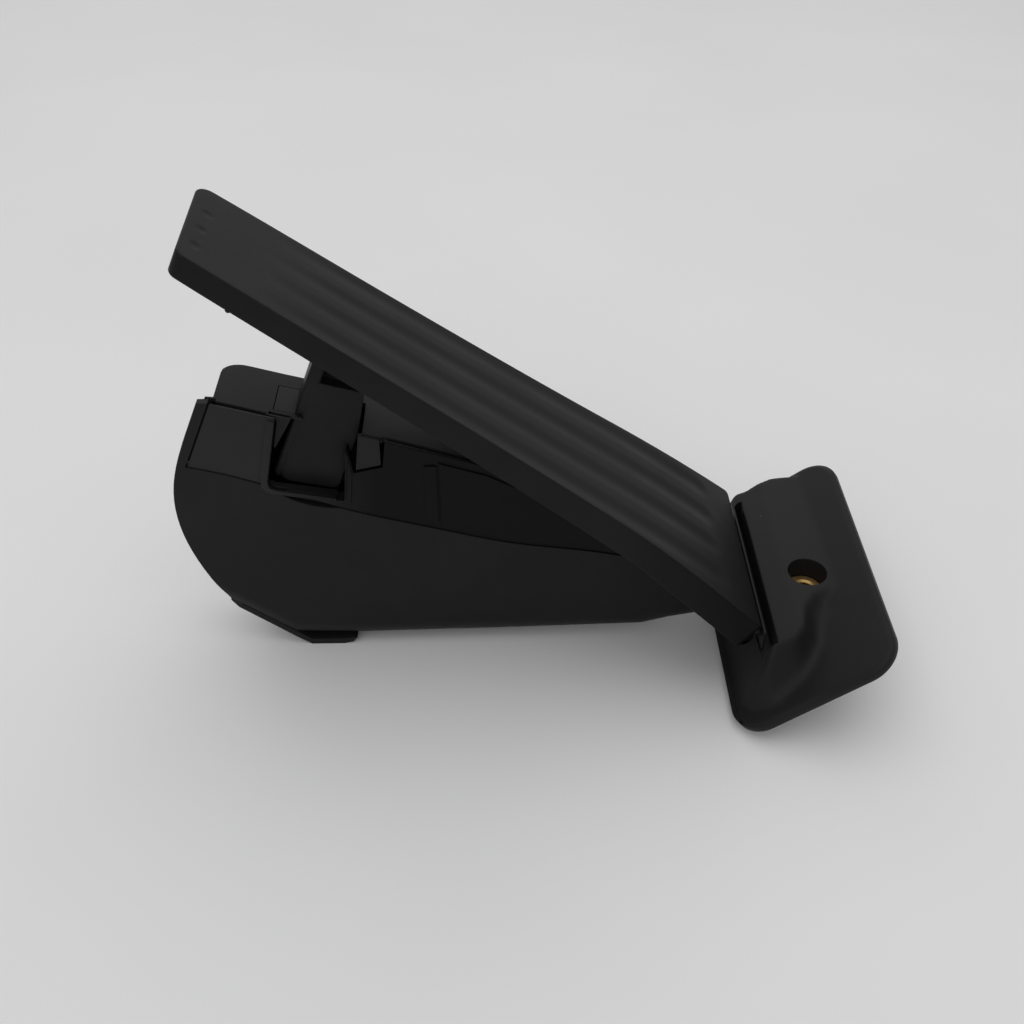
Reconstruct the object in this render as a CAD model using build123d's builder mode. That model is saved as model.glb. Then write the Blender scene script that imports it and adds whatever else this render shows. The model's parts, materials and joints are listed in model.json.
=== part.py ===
"""Floor-mounted electronic accelerator pedal: a hinged pedal plate over a sprung position sensor.

Millimetres, +Z up, the table at Z = 0. +X runs towards the heel plate, -Y is the side first seen.
"""
import os
from math import cos, radians, sin, tan

from build123d import *

os.makedirs("parts", exist_ok=True)

# Pedal plate: a tread that slopes down to its hinge, in its own (along, across, up) directions
PEDAL_SLOPE = 36.2
PEDAL_LENGTH = 192.3
PEDAL_BEND = 54.3
PEDAL_DROOP = 2.65
PEDAL_SKIN = 2.2
PEDAL_WALL = 2.2
SKIRT_TIP = 7.3
SKIRT_BEND = 9.0
SKIRT_HINGE = 9.8
HALF_WIDTHS = [(0.17, 19.4), (0.33, 20.7), (0.51, 22.4), (0.70, 24.6), (0.80, 26.5), (0.90, 29.0)]
HALF_TIP = 18.0
HALF_HINGE = 31.2
TIP_CORNER = 6.0
HINGE_CORNER = 4.0
GROOVE_PITCH = 0.26
GROOVE_START = 20.0
GROOVE_RAMP = 22.0
GROOVE_STOP = 11.3
GROOVE_DEPTH = 0.75
GROOVE_R = 10.2
DIMPLE_R = 9.0
DIMPLE_WIDE = 2.1
DIMPLE_ALONG = 11.5
DIMPLE_PITCH = 8.9
DIMPLE_Y = -2.7
TRACK_LONG = 24.0
TRACK_LEAD = 2.0
TRACK_THICK = 1.0
RIB_THICK = 1.6
RIB_DEEP = 4.0
RIB_LONG = 33.0
RIB_ALONG = 18.0
RIB_Y = 9.0
CROSS_RIB_ALONG = 34.0
CROSS_RIB_LONG = 36.0

# Hinge between the pedal plate and the heel plate
HINGE_X = 62.6
HINGE_Z = 23.4
HINGE_BEYOND = 1.6
HINGE_BELOW = 11.8
BEAD_R = 1.5
KNUCKLE_R = 3.4
KNUCKLE_WEB = [(-8.9, 0.8), (-2.0, 6.8), (2.5, 2.2), (-1.6, -3.0)]
HINGE_GAP = 0.35
WEB_SLIT = [(0.0, 0.8), (7.0, 1.3), (7.0, -2.4), (0.0, -0.9)]
FIN_X = 68.75
FIN_TOP = 26.6
FIN_THICK = 0.8
FIN_HALF = 30.3
WEB_THICK = 0.9
BAR_LEFT = 67.4
BAR_BOTTOM = 13.0
BAR_TOP = 19.5
BAR_PAST_FIN = 2.0

# Heel plate, its boss and its bolt
HEEL_TILT = 38.0
HEEL_X = 62.1
HEEL_LONG = 53.8
HEEL_WIDE = 98.4
HEEL_THICK = 3.2
HEEL_CORNER = 10.7
SLOT_EDGE_X = 71.8
SLOT_EDGE_Z = 26.9
SHELF_Z = 28.5
SHELF_BAND = 7.0
SHELF_LEFT = 71.0
SHELF_NEAR = [(SHELF_LEFT, -34.1), (79.5, -32.8)]
SHELF_FAR = (SHELF_LEFT, 43.4)
SHELF_RIGHT = [(85.5, -26.5), (90.0, -19.5), (93.4, -11.0), (93.4, 41.0)]
SHELF_OUTER = [(95.0, -60.0), (130.0, -60.0), (130.0, 37.1)]
SHELF_DRAFT = 42.0
SHELF_END_DRAFT = 18.0
SHELF_DEEP = 26.0
HINGE_ROOM = 33.0
ROOM_LEFT = -8.0
ROOM_HIGH = 10.0
ROOM_LOW = -12.4
ROOM_SHELF = -6.2
BOLT_X = 86.2
BOLT_Y = -5.0
BOLT_SEAT_R = 6.0
BOLT_BORE_R = 3.3
BUSH_TOP = 18.0
BOLT_BOSS_R = 9.5

# Housing: a tub, the sensor body standing in it and a lid
HOUSING_Y = 5.5
TUB_HALF = 12.6
TUB_SEAT_HALF = 10.6
TUB_FLOOR_HALF = 8.3
SENSOR_HALF = 10.5
SENSOR_NEAR = 12.2
SENSOR_WALL = 2.2
SEAM_GAP = 0.12
HULL_ROUND = 9.0
SEAT_DEPTH = 8.0
LID_THICK = 2.0
LID_RIM = 0.9
LID_GAP = 0.6
LID_CORNER = 6.5
RIM_PROUD = 0.5
STRIP_DEEP = 2.5
FOOT_HALF = 11.3
FLOOR_Z = 3.4
ROOT = 0.5
WALL_RIB = (3.6, 21.0)
WALL_RIB_PLACE = (-29.5, 62.8)
SLOT_LEFT = -73.4
SLOT_RIGHT = -48.2
SLOT_FAR_Y = 10.4

# Lever, its shaft and what rides on it
PIVOT_X = -4.0
PIVOT_Z = 52.0
SHAFT_R = 2.5
SHAFT_FIT = 0.03
BUSH_R = 4.0
NEAR_BUSH_Y = (-2.4, 1.0)
WASHER_THICK = 0.5
WASHER_FIT = 0.4
MAGNET_R = 4.6
MAGNET_TOP = 19.0
MAGNET_THICK = 2.5
HUB_R = 9.0
HUB_Y = (1.5, 11.0)
ARM_Y = (1.5, 9.5)
STRUT_Y = (-2.2, 9.5)
PAD_R = 4.0
PAD_REACH = 143.0
PAD_GAP = 0.4
PAD_Y = (-1.2, 8.6)
SHAFT_Y = (-2.3, 18.6)
FAR_BOSS_Y = 11.95
SPRING_X = -37.0
SEAT_Z = 5.6
SPRING_BASE = 7.2
SEAT_R = 7.9
SEAT_RIM = 0.6
SEAT_HIGH = 3.4
SEAT_PEG_R = 2.5
SEAT_PEG = 6.4
SADDLE_TOP = 50.0
SADDLE_THICK = 1.8
SADDLE_R = 7.6
SADDLE_PEG_R = 2.4
SADDLE_PEG = 3.0
SADDLE_POST_R = 4.0
OUTER_COIL = 6.3
OUTER_WIRE = 0.65
OUTER_TURNS = 6
INNER_COIL = 3.6
INNER_TURNS = 8
INNER_WIRE = 0.5
COIL_STEPS = 12
STOP_X = -66.5
STOP_Y = 4.0
STOP_BASE = 38.0
STOP_TOP = 45.6
STOP_R = 5.0
STOP_POST_R = 4.0
STOP_SPIGOT_R = 2.0
STOP_SPIGOT = 4.0

# Sensor pod on the far wall
POD_Y = HOUSING_Y + SENSOR_HALF
SEAL_THICK = 0.5
SEAL_R = 13.4
SEAL_WIDE = 2.6
POD_ROOM = (41.0, 60.0)
POD_ROOM_RISE = 14.5
POD_R = 8.6
FLANGE_R = 14.5
FLANGE_TOP = 2.5
POD_DEEP = 7.5
POD_WALL = 1.5
BOARD_R = 7.2
BOARD_THICK = 1.2
BOARD_TOP = POD_Y + 5.1
SCREW_RING = 16.0
SCREW_ANGLES = (150.0, 210.0, 330.0)
SCREW_R = 1.1
SCREW_HEAD_R = 2.3
SCREW_HEAD = 1.5
SCREW_FIT = 0.2
LUG_R = 3.0
PLUG_WIDE = 22.0
PLUG_HIGH = 11.0
PLUG_LONG = 14.0
PLUG_WALL = 1.5
PLUG_END = POD_Y + SEAL_THICK + POD_DEEP + PLUG_LONG
PLUG_Z = PIVOT_Z - 4.0
PIN_SIZE = 0.9
PIN_PITCH = 2.8
PIN_SHORT = 3.5

SLOPE_COS = cos(radians(PEDAL_SLOPE))
SLOPE_SIN = sin(radians(PEDAL_SLOPE))
TILT_COS = cos(radians(HEEL_TILT))
TILT_SIN = sin(radians(HEEL_TILT))

BAR_SIZE = (SLOT_EDGE_X - BAR_LEFT, 2 * (FIN_HALF + BAR_PAST_FIN), BAR_TOP - BAR_BOTTOM)
HINGE_ALONG = PEDAL_LENGTH + HINGE_BEYOND
PEDAL_FLAT = PEDAL_LENGTH - PEDAL_BEND
GROOVE_END = PEDAL_LENGTH - GROOVE_STOP
PEDAL_TIP = (
    HINGE_X - HINGE_ALONG * SLOPE_COS + HINGE_BELOW * SLOPE_SIN,
    HINGE_Z + HINGE_ALONG * SLOPE_SIN + HINGE_BELOW * SLOPE_COS,
)
PAD_ALONG = HINGE_ALONG - PAD_REACH
PAD_BELOW = PEDAL_SKIN + TRACK_THICK + PAD_R + PAD_GAP
PAD_X = PEDAL_TIP[0] + PAD_ALONG * SLOPE_COS - PAD_BELOW * SLOPE_SIN
PAD_Z = PEDAL_TIP[1] - PAD_ALONG * SLOPE_SIN - PAD_BELOW * SLOPE_COS

TREAD = Plane(
    origin=(PEDAL_TIP[0], 0, PEDAL_TIP[1]),
    x_dir=(SLOPE_COS, 0, -SLOPE_SIN),
    z_dir=(SLOPE_SIN, 0, SLOPE_COS),
)
TREAD_SIDE = Plane(
    origin=(PEDAL_TIP[0], 0, PEDAL_TIP[1]),
    x_dir=(SLOPE_COS, 0, -SLOPE_SIN),
    z_dir=(0, -1, 0),
)
HEEL = Plane(
    origin=(HEEL_X, 0, 0),
    x_dir=(TILT_COS, 0, TILT_SIN),
    z_dir=(-TILT_SIN, 0, TILT_COS),
)


def side(y):
    """Upright plane across the part at Y = y, drawn as X and Z, that extrudes towards -Y."""
    return Plane(origin=(0, y, 0), x_dir=(1, 0, 0), z_dir=(0, -1, 0))


def inside(stations):
    """Outline of the room between the skirts, from (along, half width) stations of the tread."""
    far = [(along, half - PEDAL_WALL) for along, half in stations]
    return far + [(along, -half) for along, half in reversed(far)]


WIDTHS = [(share * PEDAL_LENGTH, half) for share, half in HALF_WIDTHS]
GROOVE_STATIONS = [
    (GROOVE_START, 37.6, 0.0),
    (GROOVE_START + GROOVE_RAMP, 39.7, GROOVE_DEPTH),
    (PEDAL_FLAT, 49.4, GROOVE_DEPTH),
    (GROOVE_END - 16, 52.2, GROOVE_DEPTH + 0.65),
    (GROOVE_END - 6, 53.2, GROOVE_DEPTH + 1.3),
]
POCKET = [(PEDAL_WALL, HALF_TIP)] + WIDTHS[:4] + [(PEDAL_FLAT + 4, 25.3)]
HEEL_POCKET = [(PEDAL_FLAT - 8, 24.3)] + WIDTHS[3:] + [(PEDAL_LENGTH - 9.3, 30.2)]

# Side-view curves of the housing
HULL = [
    (-91.5, 97.4), (-100.3, 77.4), (-103.7, 65.9), (-104.1, 50.6), (-100.7, 36.5), (-94.5, 22.5),
    (-86.0, 9.5),
]
KEEL = [(-77.0, 2.4), (-55.0, 1.6), (-10.0, 2.5), (36.0, 3.9), (45.0, 6.5), (66.0, 11.0)]
NECK = [(66.0, 17.0), (57.5, 19.0), (44.0, 28.5)]
STRIP_TOP = (-88.5, 96.9)
STRIP_BACK = [(-110.0, 75.0), (-80.0, 66.0), (-80.0, 110.0), (-110.0, 110.0)]
TUB_ROOM = [
    (-97.2, 68.0), (-100.4, 60.0), (-100.8, 50.6), (-97.8, 38.3), (-91.4, 25.5), (-83.6, 13.8),
    (-75.4, 5.6), (-55.0, 4.6), (-10.0, 5.4), (28.0, 6.8), (28.0, 68.0),
]
SEAM = [(-98.9, 73.9), (-76.4, 66.6), (-56.5, 58.2), (-28.7, 49.8), (-5.8, 43.6), (13.9, 40.6), (31.0, 37.0)]
SCALLOP = [SEAM[1], (-66.5, 60.0), SEAM[2]]
BLOCK_TOP = [(-88.4, 95.0), (-71.7, 90.1), (-41.6, 81.8), (-11.8, 72.1)]
BULGE = [(4.0, 62.5), (18.0, 51.5), (28.5, 39.0)]
CHEEK_FOOT = [(x, z + SEAM_GAP) for x, z in [(-98.4, 73.75)] + SEAM[1:-1] + [(28.5, 37.6)]]
CHEEK_CORNER = (-88.8, 95.1)
FOOT = [
    (-94.0, 22.8), (-94.2, 20.2), (-92.2, 17.1), (-75.3, 3.2), (-71.0, 0.0), (-60.5, 0.0), (-57.4, 0.9),
    (-56.0, 2.8), (-60.0, 2.2), (-70.6, 2.2), (-74.2, 5.0), (-90.7, 18.6), (-91.6, 22.8),
]


def block_top(x):
    """Height of the sensor housing's upper edge at x."""
    for (x0, z0), (x1, z1) in zip(BLOCK_TOP, BLOCK_TOP[1:]):
        if x <= x1:
            return z0 + (z1 - z0) * (x - x0) / (x1 - x0)
    return BLOCK_TOP[-1][1]


SEAT = [(x, z - SEAT_DEPTH) for x, z in SEAM[1:-1]] + [(29.8, 29.4)]
SEAT_ROOM = SEAT + [(29.8, 110.0), (-88.8, 110.0), (-88.8, 96.4), (-95.5, 73.0), (-97.4, 65.4)]
SENSOR_SIDE = (
    BLOCK_TOP + BULGE + [(29.7, 29.42)] + list(reversed(SEAT[:-1])) + [(-97.0, 65.3), (-95.1, 73.0)]
)
SENSOR_ROOM = [
    (-85.8, 100.0), (-92.7, 74.0), (-94.4, 66.0), (-94.4, 20.0), (27.3, 20.0), (27.3, 36.5),
    (16.6, 49.6), (3.0, 60.3), (-13.4, 69.6), (-13.4, 100.0),
]
SWELL = [
    (-27.0, 51.0), (-27.0, 74.3), (-13.0, 69.6), (2.6, 60.8), (16.2, 50.2), (22.0, 42.5), (-6.0, 45.8),
]
TAB = [(-52.0, 84.4), (-43.4, 82.1), (-43.5, 73.3), (-50.9, 71.6)]
FLAP = [(-75.0, 91.0), (-67.4, 88.8), (-72.9, 79.2), (-73.5, 79.2), (-71.5, 88.4), (-75.0, 89.4)]
LID_LEFT = BLOCK_TOP[0][0]
LID_RIGHT = -13.0
LID_LINE = BLOCK_TOP[:-1] + [(LID_RIGHT, block_top(LID_RIGHT))]
COVER_LINE = BLOCK_TOP[:-1] + [(LID_RIGHT - LID_GAP, block_top(LID_RIGHT - LID_GAP))]


def far_corner(edge):
    """True for the upright edge at the housing's far left corner, or at what is let into it."""
    middle = edge.center()
    upright = abs(edge.tangent_at(0).Z) > 0.8
    return upright and middle.Y > POD_Y - 3 and middle.X < LID_LEFT + 1 and middle.Z > 75


NOTCH = [
    (-71.7, 100.0), (-71.7, 89.3), (-76.9, 66.2), (-74.5, 65.1), (-56.4, 61.8), (-54.6, 78.8),
    (-52.6, 78.4), (-51.5, 70.8), (-43.0, 72.8), (-41.9, 81.0), (-41.9, 100.0),
]
RIM_LEFT = [(-71.7, 89.3), (-73.7, 89.9), (-78.5, 68.9), (-76.3, 68.9)]
RIM_RIGHT = [
    (-72.0, 64.65), (-72.0, 63.3), (-55.3, 60.2), (-53.9, 61.6), (-52.4, 77.4), (-54.6, 78.8), (-56.4, 61.8),
]
STRUT_HEAD = [(3.8, -14.9), (5.9, -6.0), (4.3, -0.7), (-4.1, 0.6), (-6.9, -4.0)]
STRUT = [
    (-64.4, 89.3), (-69.2, 77.8), (-73.8, 67.0), (-71.5, 64.9), (-57.0, 61.6), (-52.9, 73.2), (-49.6, 81.4),
] + [(PAD_X + dx, PAD_Z + dz) for dx, dz in STRUT_HEAD]
WING = [(-72.0, 89.9), (-72.0, 88.4), (-64.0, 86.2), (-64.0, 87.7)]
ARM_HUB = [(-8.0, -4.4), (0.0, 0.0), (-1.0, 8.6)]
ARM = (
    [(-62.0, 64.0), (-57.0, 61.8), (-40.0, 55.0)]
    + [(PIVOT_X + dx, PIVOT_Z + dz) for dx, dz in ARM_HUB]
    + [(-30.0, 68.6), (-54.0, 75.0)]
)
SCREW_PLACES = [
    (PIVOT_X + SCREW_RING * cos(radians(a)), PIVOT_Z + SCREW_RING * sin(radians(a))) for a in SCREW_ANGLES
]


def coil(radius, turns, wire):
    """Corners of a return spring's wire, from the spring seat up to the saddle."""
    rise = SADDLE_TOP - SADDLE_THICK - SPRING_BASE - 2 * wire
    corners = []
    for step in range(turns * COIL_STEPS + 1):
        angle = radians(360.0 * step / COIL_STEPS)
        height = SPRING_BASE + wire + rise * step / (turns * COIL_STEPS)
        corners.append((SPRING_X + radius * cos(angle), HOUSING_Y + radius * sin(angle), height))
    return corners


# Base housing: hull, foot, neck and heel plate in one moulding
with BuildPart() as base_housing:
    with BuildSketch(side(HOUSING_Y + TUB_HALF)):
        with BuildLine():
            left = Spline(*HULL)
            Polyline(left @ 1, *KEEL, *NECK, SEAM[-1])
            rim = Spline(*reversed(SEAM))
            Polyline(rim @ 1, STRIP_TOP, left @ 0)
        make_face()
    extrude(amount=2 * TUB_HALF)
    keel = base_housing.edges().filter_by(Axis.Y, reverse=True).filter_by_position(Axis.Z, 0, 8.0)
    fillet(keel.filter_by(lambda e: e.length > 3), radius=HULL_ROUND)
    with BuildSketch(side(HOUSING_Y + FOOT_HALF)):
        with BuildLine():
            Polyline(*FOOT, close=True)
        make_face()
    extrude(amount=2 * FOOT_HALF)
    with BuildSketch(side(HOUSING_Y + TUB_SEAT_HALF)):
        with BuildLine():
            Polyline(*SEAT_ROOM, close=True)
        make_face()
    extrude(amount=2 * TUB_SEAT_HALF, mode=Mode.SUBTRACT)
    with BuildSketch(side(HOUSING_Y + TUB_FLOOR_HALF)):
        with BuildLine():
            Polyline(*TUB_ROOM, close=True)
        make_face()
    extrude(amount=2 * TUB_FLOOR_HALF, mode=Mode.SUBTRACT)
    with BuildSketch(side(HOUSING_Y + TUB_HALF + 1)):
        with BuildLine():
            Polyline(*STRIP_BACK, close=True)
        make_face()
    extrude(amount=2 * TUB_HALF + 1 - STRIP_DEEP, mode=Mode.SUBTRACT)
    with BuildSketch(side(HOUSING_Y + TUB_HALF + 1)):
        with Locations((PIVOT_X, PIVOT_Z + POD_ROOM_RISE)):
            Rectangle(*POD_ROOM)
    extrude(amount=TUB_HALF - SENSOR_HALF + 1, mode=Mode.SUBTRACT)
    with BuildSketch(side(HOUSING_Y - SENSOR_HALF)):
        with BuildLine():
            ThreePointArc(*SCALLOP)
            Polyline(SCALLOP[-1], (SCALLOP[-1][0], SCALLOP[0][1]), SCALLOP[0])
        make_face()
    extrude(amount=TUB_HALF, mode=Mode.SUBTRACT)
    with Locations((STOP_X, STOP_Y, FLOOR_Z)):
        Cylinder(STOP_POST_R, STOP_BASE - FLOOR_Z, align=(Align.CENTER, Align.CENTER, Align.MIN))
    with Locations((STOP_X, STOP_Y, STOP_BASE)):
        Cylinder(STOP_SPIGOT_R, STOP_SPIGOT, align=(Align.CENTER, Align.CENTER, Align.MIN))
    with Locations((SPRING_X, HOUSING_Y, FLOOR_Z)):
        Cylinder(SEAT_R, SEAT_Z - FLOOR_Z, align=(Align.CENTER, Align.CENTER, Align.MIN))
        Cylinder(SEAT_PEG_R, SEAT_PEG, align=(Align.CENTER, Align.CENTER, Align.MIN))
    with BuildSketch(HEEL):
        with Locations((HEEL_LONG / 2, 0)):
            RectangleRounded(HEEL_LONG, HEEL_WIDE, HEEL_CORNER)
    extrude(amount=HEEL_THICK)
    with BuildSketch(Plane.XY.offset(SHELF_Z)):
        with BuildLine():
            Polyline(*SHELF_NEAR, *SHELF_RIGHT, SHELF_FAR, close=True)
        make_face()
    shelf = extrude(amount=-SHELF_DEEP, taper=-SHELF_DRAFT, mode=Mode.PRIVATE)
    with BuildSketch(Plane.XY.offset(SHELF_Z)):
        with BuildLine():
            Polyline(*SHELF_NEAR, *SHELF_OUTER, SHELF_FAR, close=True)
        make_face()
    ends = extrude(amount=-SHELF_DEEP, taper=-SHELF_END_DRAFT, mode=Mode.PRIVATE)
    with BuildSketch(HEEL.offset(HEEL_THICK / 2)):
        with Locations((HEEL_LONG / 2, 0)):
            RectangleRounded(HEEL_LONG - 2, HEEL_WIDE - 2, HEEL_CORNER - 1)
    over_plate = extrude(amount=HEEL_LONG, mode=Mode.PRIVATE)
    with BuildSketch(side(HINGE_ROOM)):
        with BuildLine():
            Polyline(
                (HINGE_X + ROOM_LEFT, HINGE_Z + ROOM_LOW), (HINGE_X, HINGE_Z + ROOM_LOW),
                (HINGE_X + KNUCKLE_R - 1, HINGE_Z + ROOM_SHELF), (SLOT_EDGE_X, HINGE_Z + ROOM_SHELF),
                (SLOT_EDGE_X, HINGE_Z + ROOM_HIGH), (HINGE_X + ROOM_LEFT, HINGE_Z + ROOM_HIGH), close=True,
            )
        make_face()
    room = extrude(amount=2 * HINGE_ROOM, mode=Mode.PRIVATE)
    with BuildSketch(side(HEEL_WIDE / 2)):
        with BuildLine():
            Polyline(
                (SLOT_EDGE_X + SHELF_BAND, SHELF_Z), (SLOT_EDGE_X, SLOT_EDGE_Z), (HINGE_X, SLOT_EDGE_Z),
                (HINGE_X, SHELF_Z + 2), (SLOT_EDGE_X + SHELF_BAND, SHELF_Z + 2), close=True,
            )
        make_face()
    band = extrude(amount=HEEL_WIDE, mode=Mode.PRIVATE)
    add((shelf & ends & over_plate) - room - band)
    with Locations((BOLT_X, BOLT_Y, 0)):
        Cylinder(BOLT_BOSS_R, 24.0, align=(Align.CENTER, Align.CENTER, Align.MIN))
        Cylinder(BOLT_SEAT_R, 60.0, align=(Align.CENTER, Align.CENTER, Align.MIN), mode=Mode.SUBTRACT)
    with Locations(((BAR_LEFT + SLOT_EDGE_X) / 2, 0, BAR_BOTTOM)):
        Box(*BAR_SIZE, align=(Align.CENTER, Align.CENTER, Align.MIN), mode=Mode.SUBTRACT)
base_housing.part.label = "base_housing"
export_step(base_housing.part, "parts/base_housing.step")

# Brass bush in the heel bolt hole
with BuildPart() as heel_bolt_bush:
    with Locations((BOLT_X, BOLT_Y, 0)):
        Cylinder(BOLT_SEAT_R, BUSH_TOP, align=(Align.CENTER, Align.CENTER, Align.MIN))
        Cylinder(BOLT_BORE_R, BUSH_TOP, align=(Align.CENTER, Align.CENTER, Align.MIN), mode=Mode.SUBTRACT)
heel_bolt_bush.part.label = "heel_bolt_bush"
export_step(heel_bolt_bush.part, "parts/heel_bolt_bush.step")

# Hinge strip: a bar held in the heel boss, a fin, and a thin web to the bead the pedal turns on
with BuildPart() as hinge_strip:
    with Locations(((BAR_LEFT + SLOT_EDGE_X) / 2, 0, BAR_BOTTOM)):
        Box(*BAR_SIZE, align=(Align.CENTER, Align.CENTER, Align.MIN))
    with Locations((FIN_X, 0, BAR_TOP - 1)):
        Box(FIN_THICK, 2 * FIN_HALF, FIN_TOP - BAR_TOP + 1, align=(Align.CENTER, Align.CENTER, Align.MIN))
    with Locations(((HINGE_X + FIN_X) / 2, 0, HINGE_Z)):
        Box(FIN_X - HINGE_X, 2 * FIN_HALF, WEB_THICK)
    with BuildSketch(side(FIN_HALF)):
        with Locations((HINGE_X, HINGE_Z)):
            Circle(BEAD_R)
    extrude(amount=2 * FIN_HALF)
hinge_strip.part.label = "hinge_strip"
export_step(hinge_strip.part, "parts/hinge_strip.step")

# Pedal plate: grooved tread with skirts, a bearing track for the lever and a knuckle round the hinge bead
with BuildPart() as pedal_plate:
    with BuildSketch(TREAD):
        with BuildLine():
            near = Spline((0, -HALF_TIP), *[(a, -h) for a, h in WIDTHS], (PEDAL_LENGTH, -HALF_HINGE))
            far = Spline((0, HALF_TIP), *WIDTHS, (PEDAL_LENGTH, HALF_HINGE))
            Line(near @ 0, far @ 0)
            Line(near @ 1, far @ 1)
        make_face()
        fillet(vertices().sort_by(Axis.X)[:2], TIP_CORNER)
        fillet(vertices().sort_by(Axis.X)[-2:], HINGE_CORNER)
    extrude(amount=-30.0)
    with BuildSketch(TREAD_SIDE):
        with BuildLine():
            Line((0, 0), (PEDAL_FLAT, 0))
            Spline((PEDAL_FLAT, 0), (PEDAL_LENGTH, -PEDAL_DROOP), tangents=((1, 0), (0.995, -0.1)))
            Polyline(
                (PEDAL_LENGTH, -PEDAL_DROOP), (PEDAL_LENGTH - 1, -PEDAL_DROOP - SKIRT_HINGE),
                (PEDAL_FLAT + 12, -SKIRT_BEND), (0, -SKIRT_TIP), (0, 0),
            )
        make_face()
    extrude(amount=40.0, both=True, mode=Mode.INTERSECT)
    with BuildSketch(TREAD.offset(-PEDAL_SKIN)):
        with BuildLine():
            Polyline(*inside(POCKET), close=True)
        make_face()
    extrude(amount=-30.0, mode=Mode.SUBTRACT)
    with BuildSketch(TREAD.offset(-PEDAL_SKIN - PEDAL_DROOP)):
        with BuildLine():
            Polyline(*inside(HEEL_POCKET), close=True)
        make_face()
    extrude(amount=-30.0, mode=Mode.SUBTRACT)
    with BuildSketch(TREAD.offset(-PEDAL_SKIN)):
        with Locations((PAD_ALONG - TRACK_LEAD, (PAD_Y[0] + PAD_Y[1]) / 2)):
            Rectangle(TRACK_LONG, PAD_Y[1] - PAD_Y[0] + 3)
    extrude(amount=-TRACK_THICK)
    with BuildSketch(TREAD.offset(-PEDAL_SKIN)):
        with Locations((RIB_ALONG, -RIB_Y), (RIB_ALONG, RIB_Y)):
            Rectangle(RIB_LONG, RIB_THICK)
        with Locations((CROSS_RIB_ALONG, 0)):
            Rectangle(RIB_THICK, CROSS_RIB_LONG)
    extrude(amount=-RIB_DEEP)
    with BuildSketch(TREAD_SIDE):
        with BuildLine():
            Polyline(*[(HINGE_ALONG + a, up - HINGE_BELOW) for a, up in KNUCKLE_WEB], close=True)
        make_face()
        with Locations((HINGE_ALONG, -HINGE_BELOW)):
            Circle(KNUCKLE_R)
    extrude(amount=FIN_HALF - 1, both=True)
    with BuildSketch(side(0)):
        with Locations((HINGE_X, HINGE_Z)):
            Circle(BEAD_R + HINGE_GAP)
        with BuildLine():
            Polyline(*[(HINGE_X + dx, HINGE_Z + dz) for dx, dz in WEB_SLIT], close=True)
        make_face()
    extrude(amount=45.0, both=True, mode=Mode.SUBTRACT)
    for place in (-1.5, -0.5, 0.5, 1.5):
        stations = [(a, place * GROOVE_PITCH * wide, GROOVE_R - deep) for a, wide, deep in GROOVE_STATIONS]
        with BuildLine() as groove:
            Polyline(*[TREAD.from_local_coords(station) for station in stations])
        with BuildSketch(Plane(origin=groove.line @ 0, z_dir=groove.line % 0)):
            Circle(GROOVE_R)
        sweep(transition=Transition.RIGHT, mode=Mode.SUBTRACT)
        with Locations(groove.line @ 1):
            Sphere(GROOVE_R, mode=Mode.SUBTRACT)
    for step in (-1, 0, 1):
        rise = (DIMPLE_R ** 2 - DIMPLE_WIDE ** 2) ** 0.5
        with Locations(TREAD.from_local_coords((DIMPLE_ALONG, DIMPLE_Y + step * DIMPLE_PITCH, rise))):
            Sphere(DIMPLE_R, mode=Mode.SUBTRACT)
pedal_plate.part.label = "pedal_plate"
export_step(pedal_plate.part, "parts/pedal_plate.step")

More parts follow.
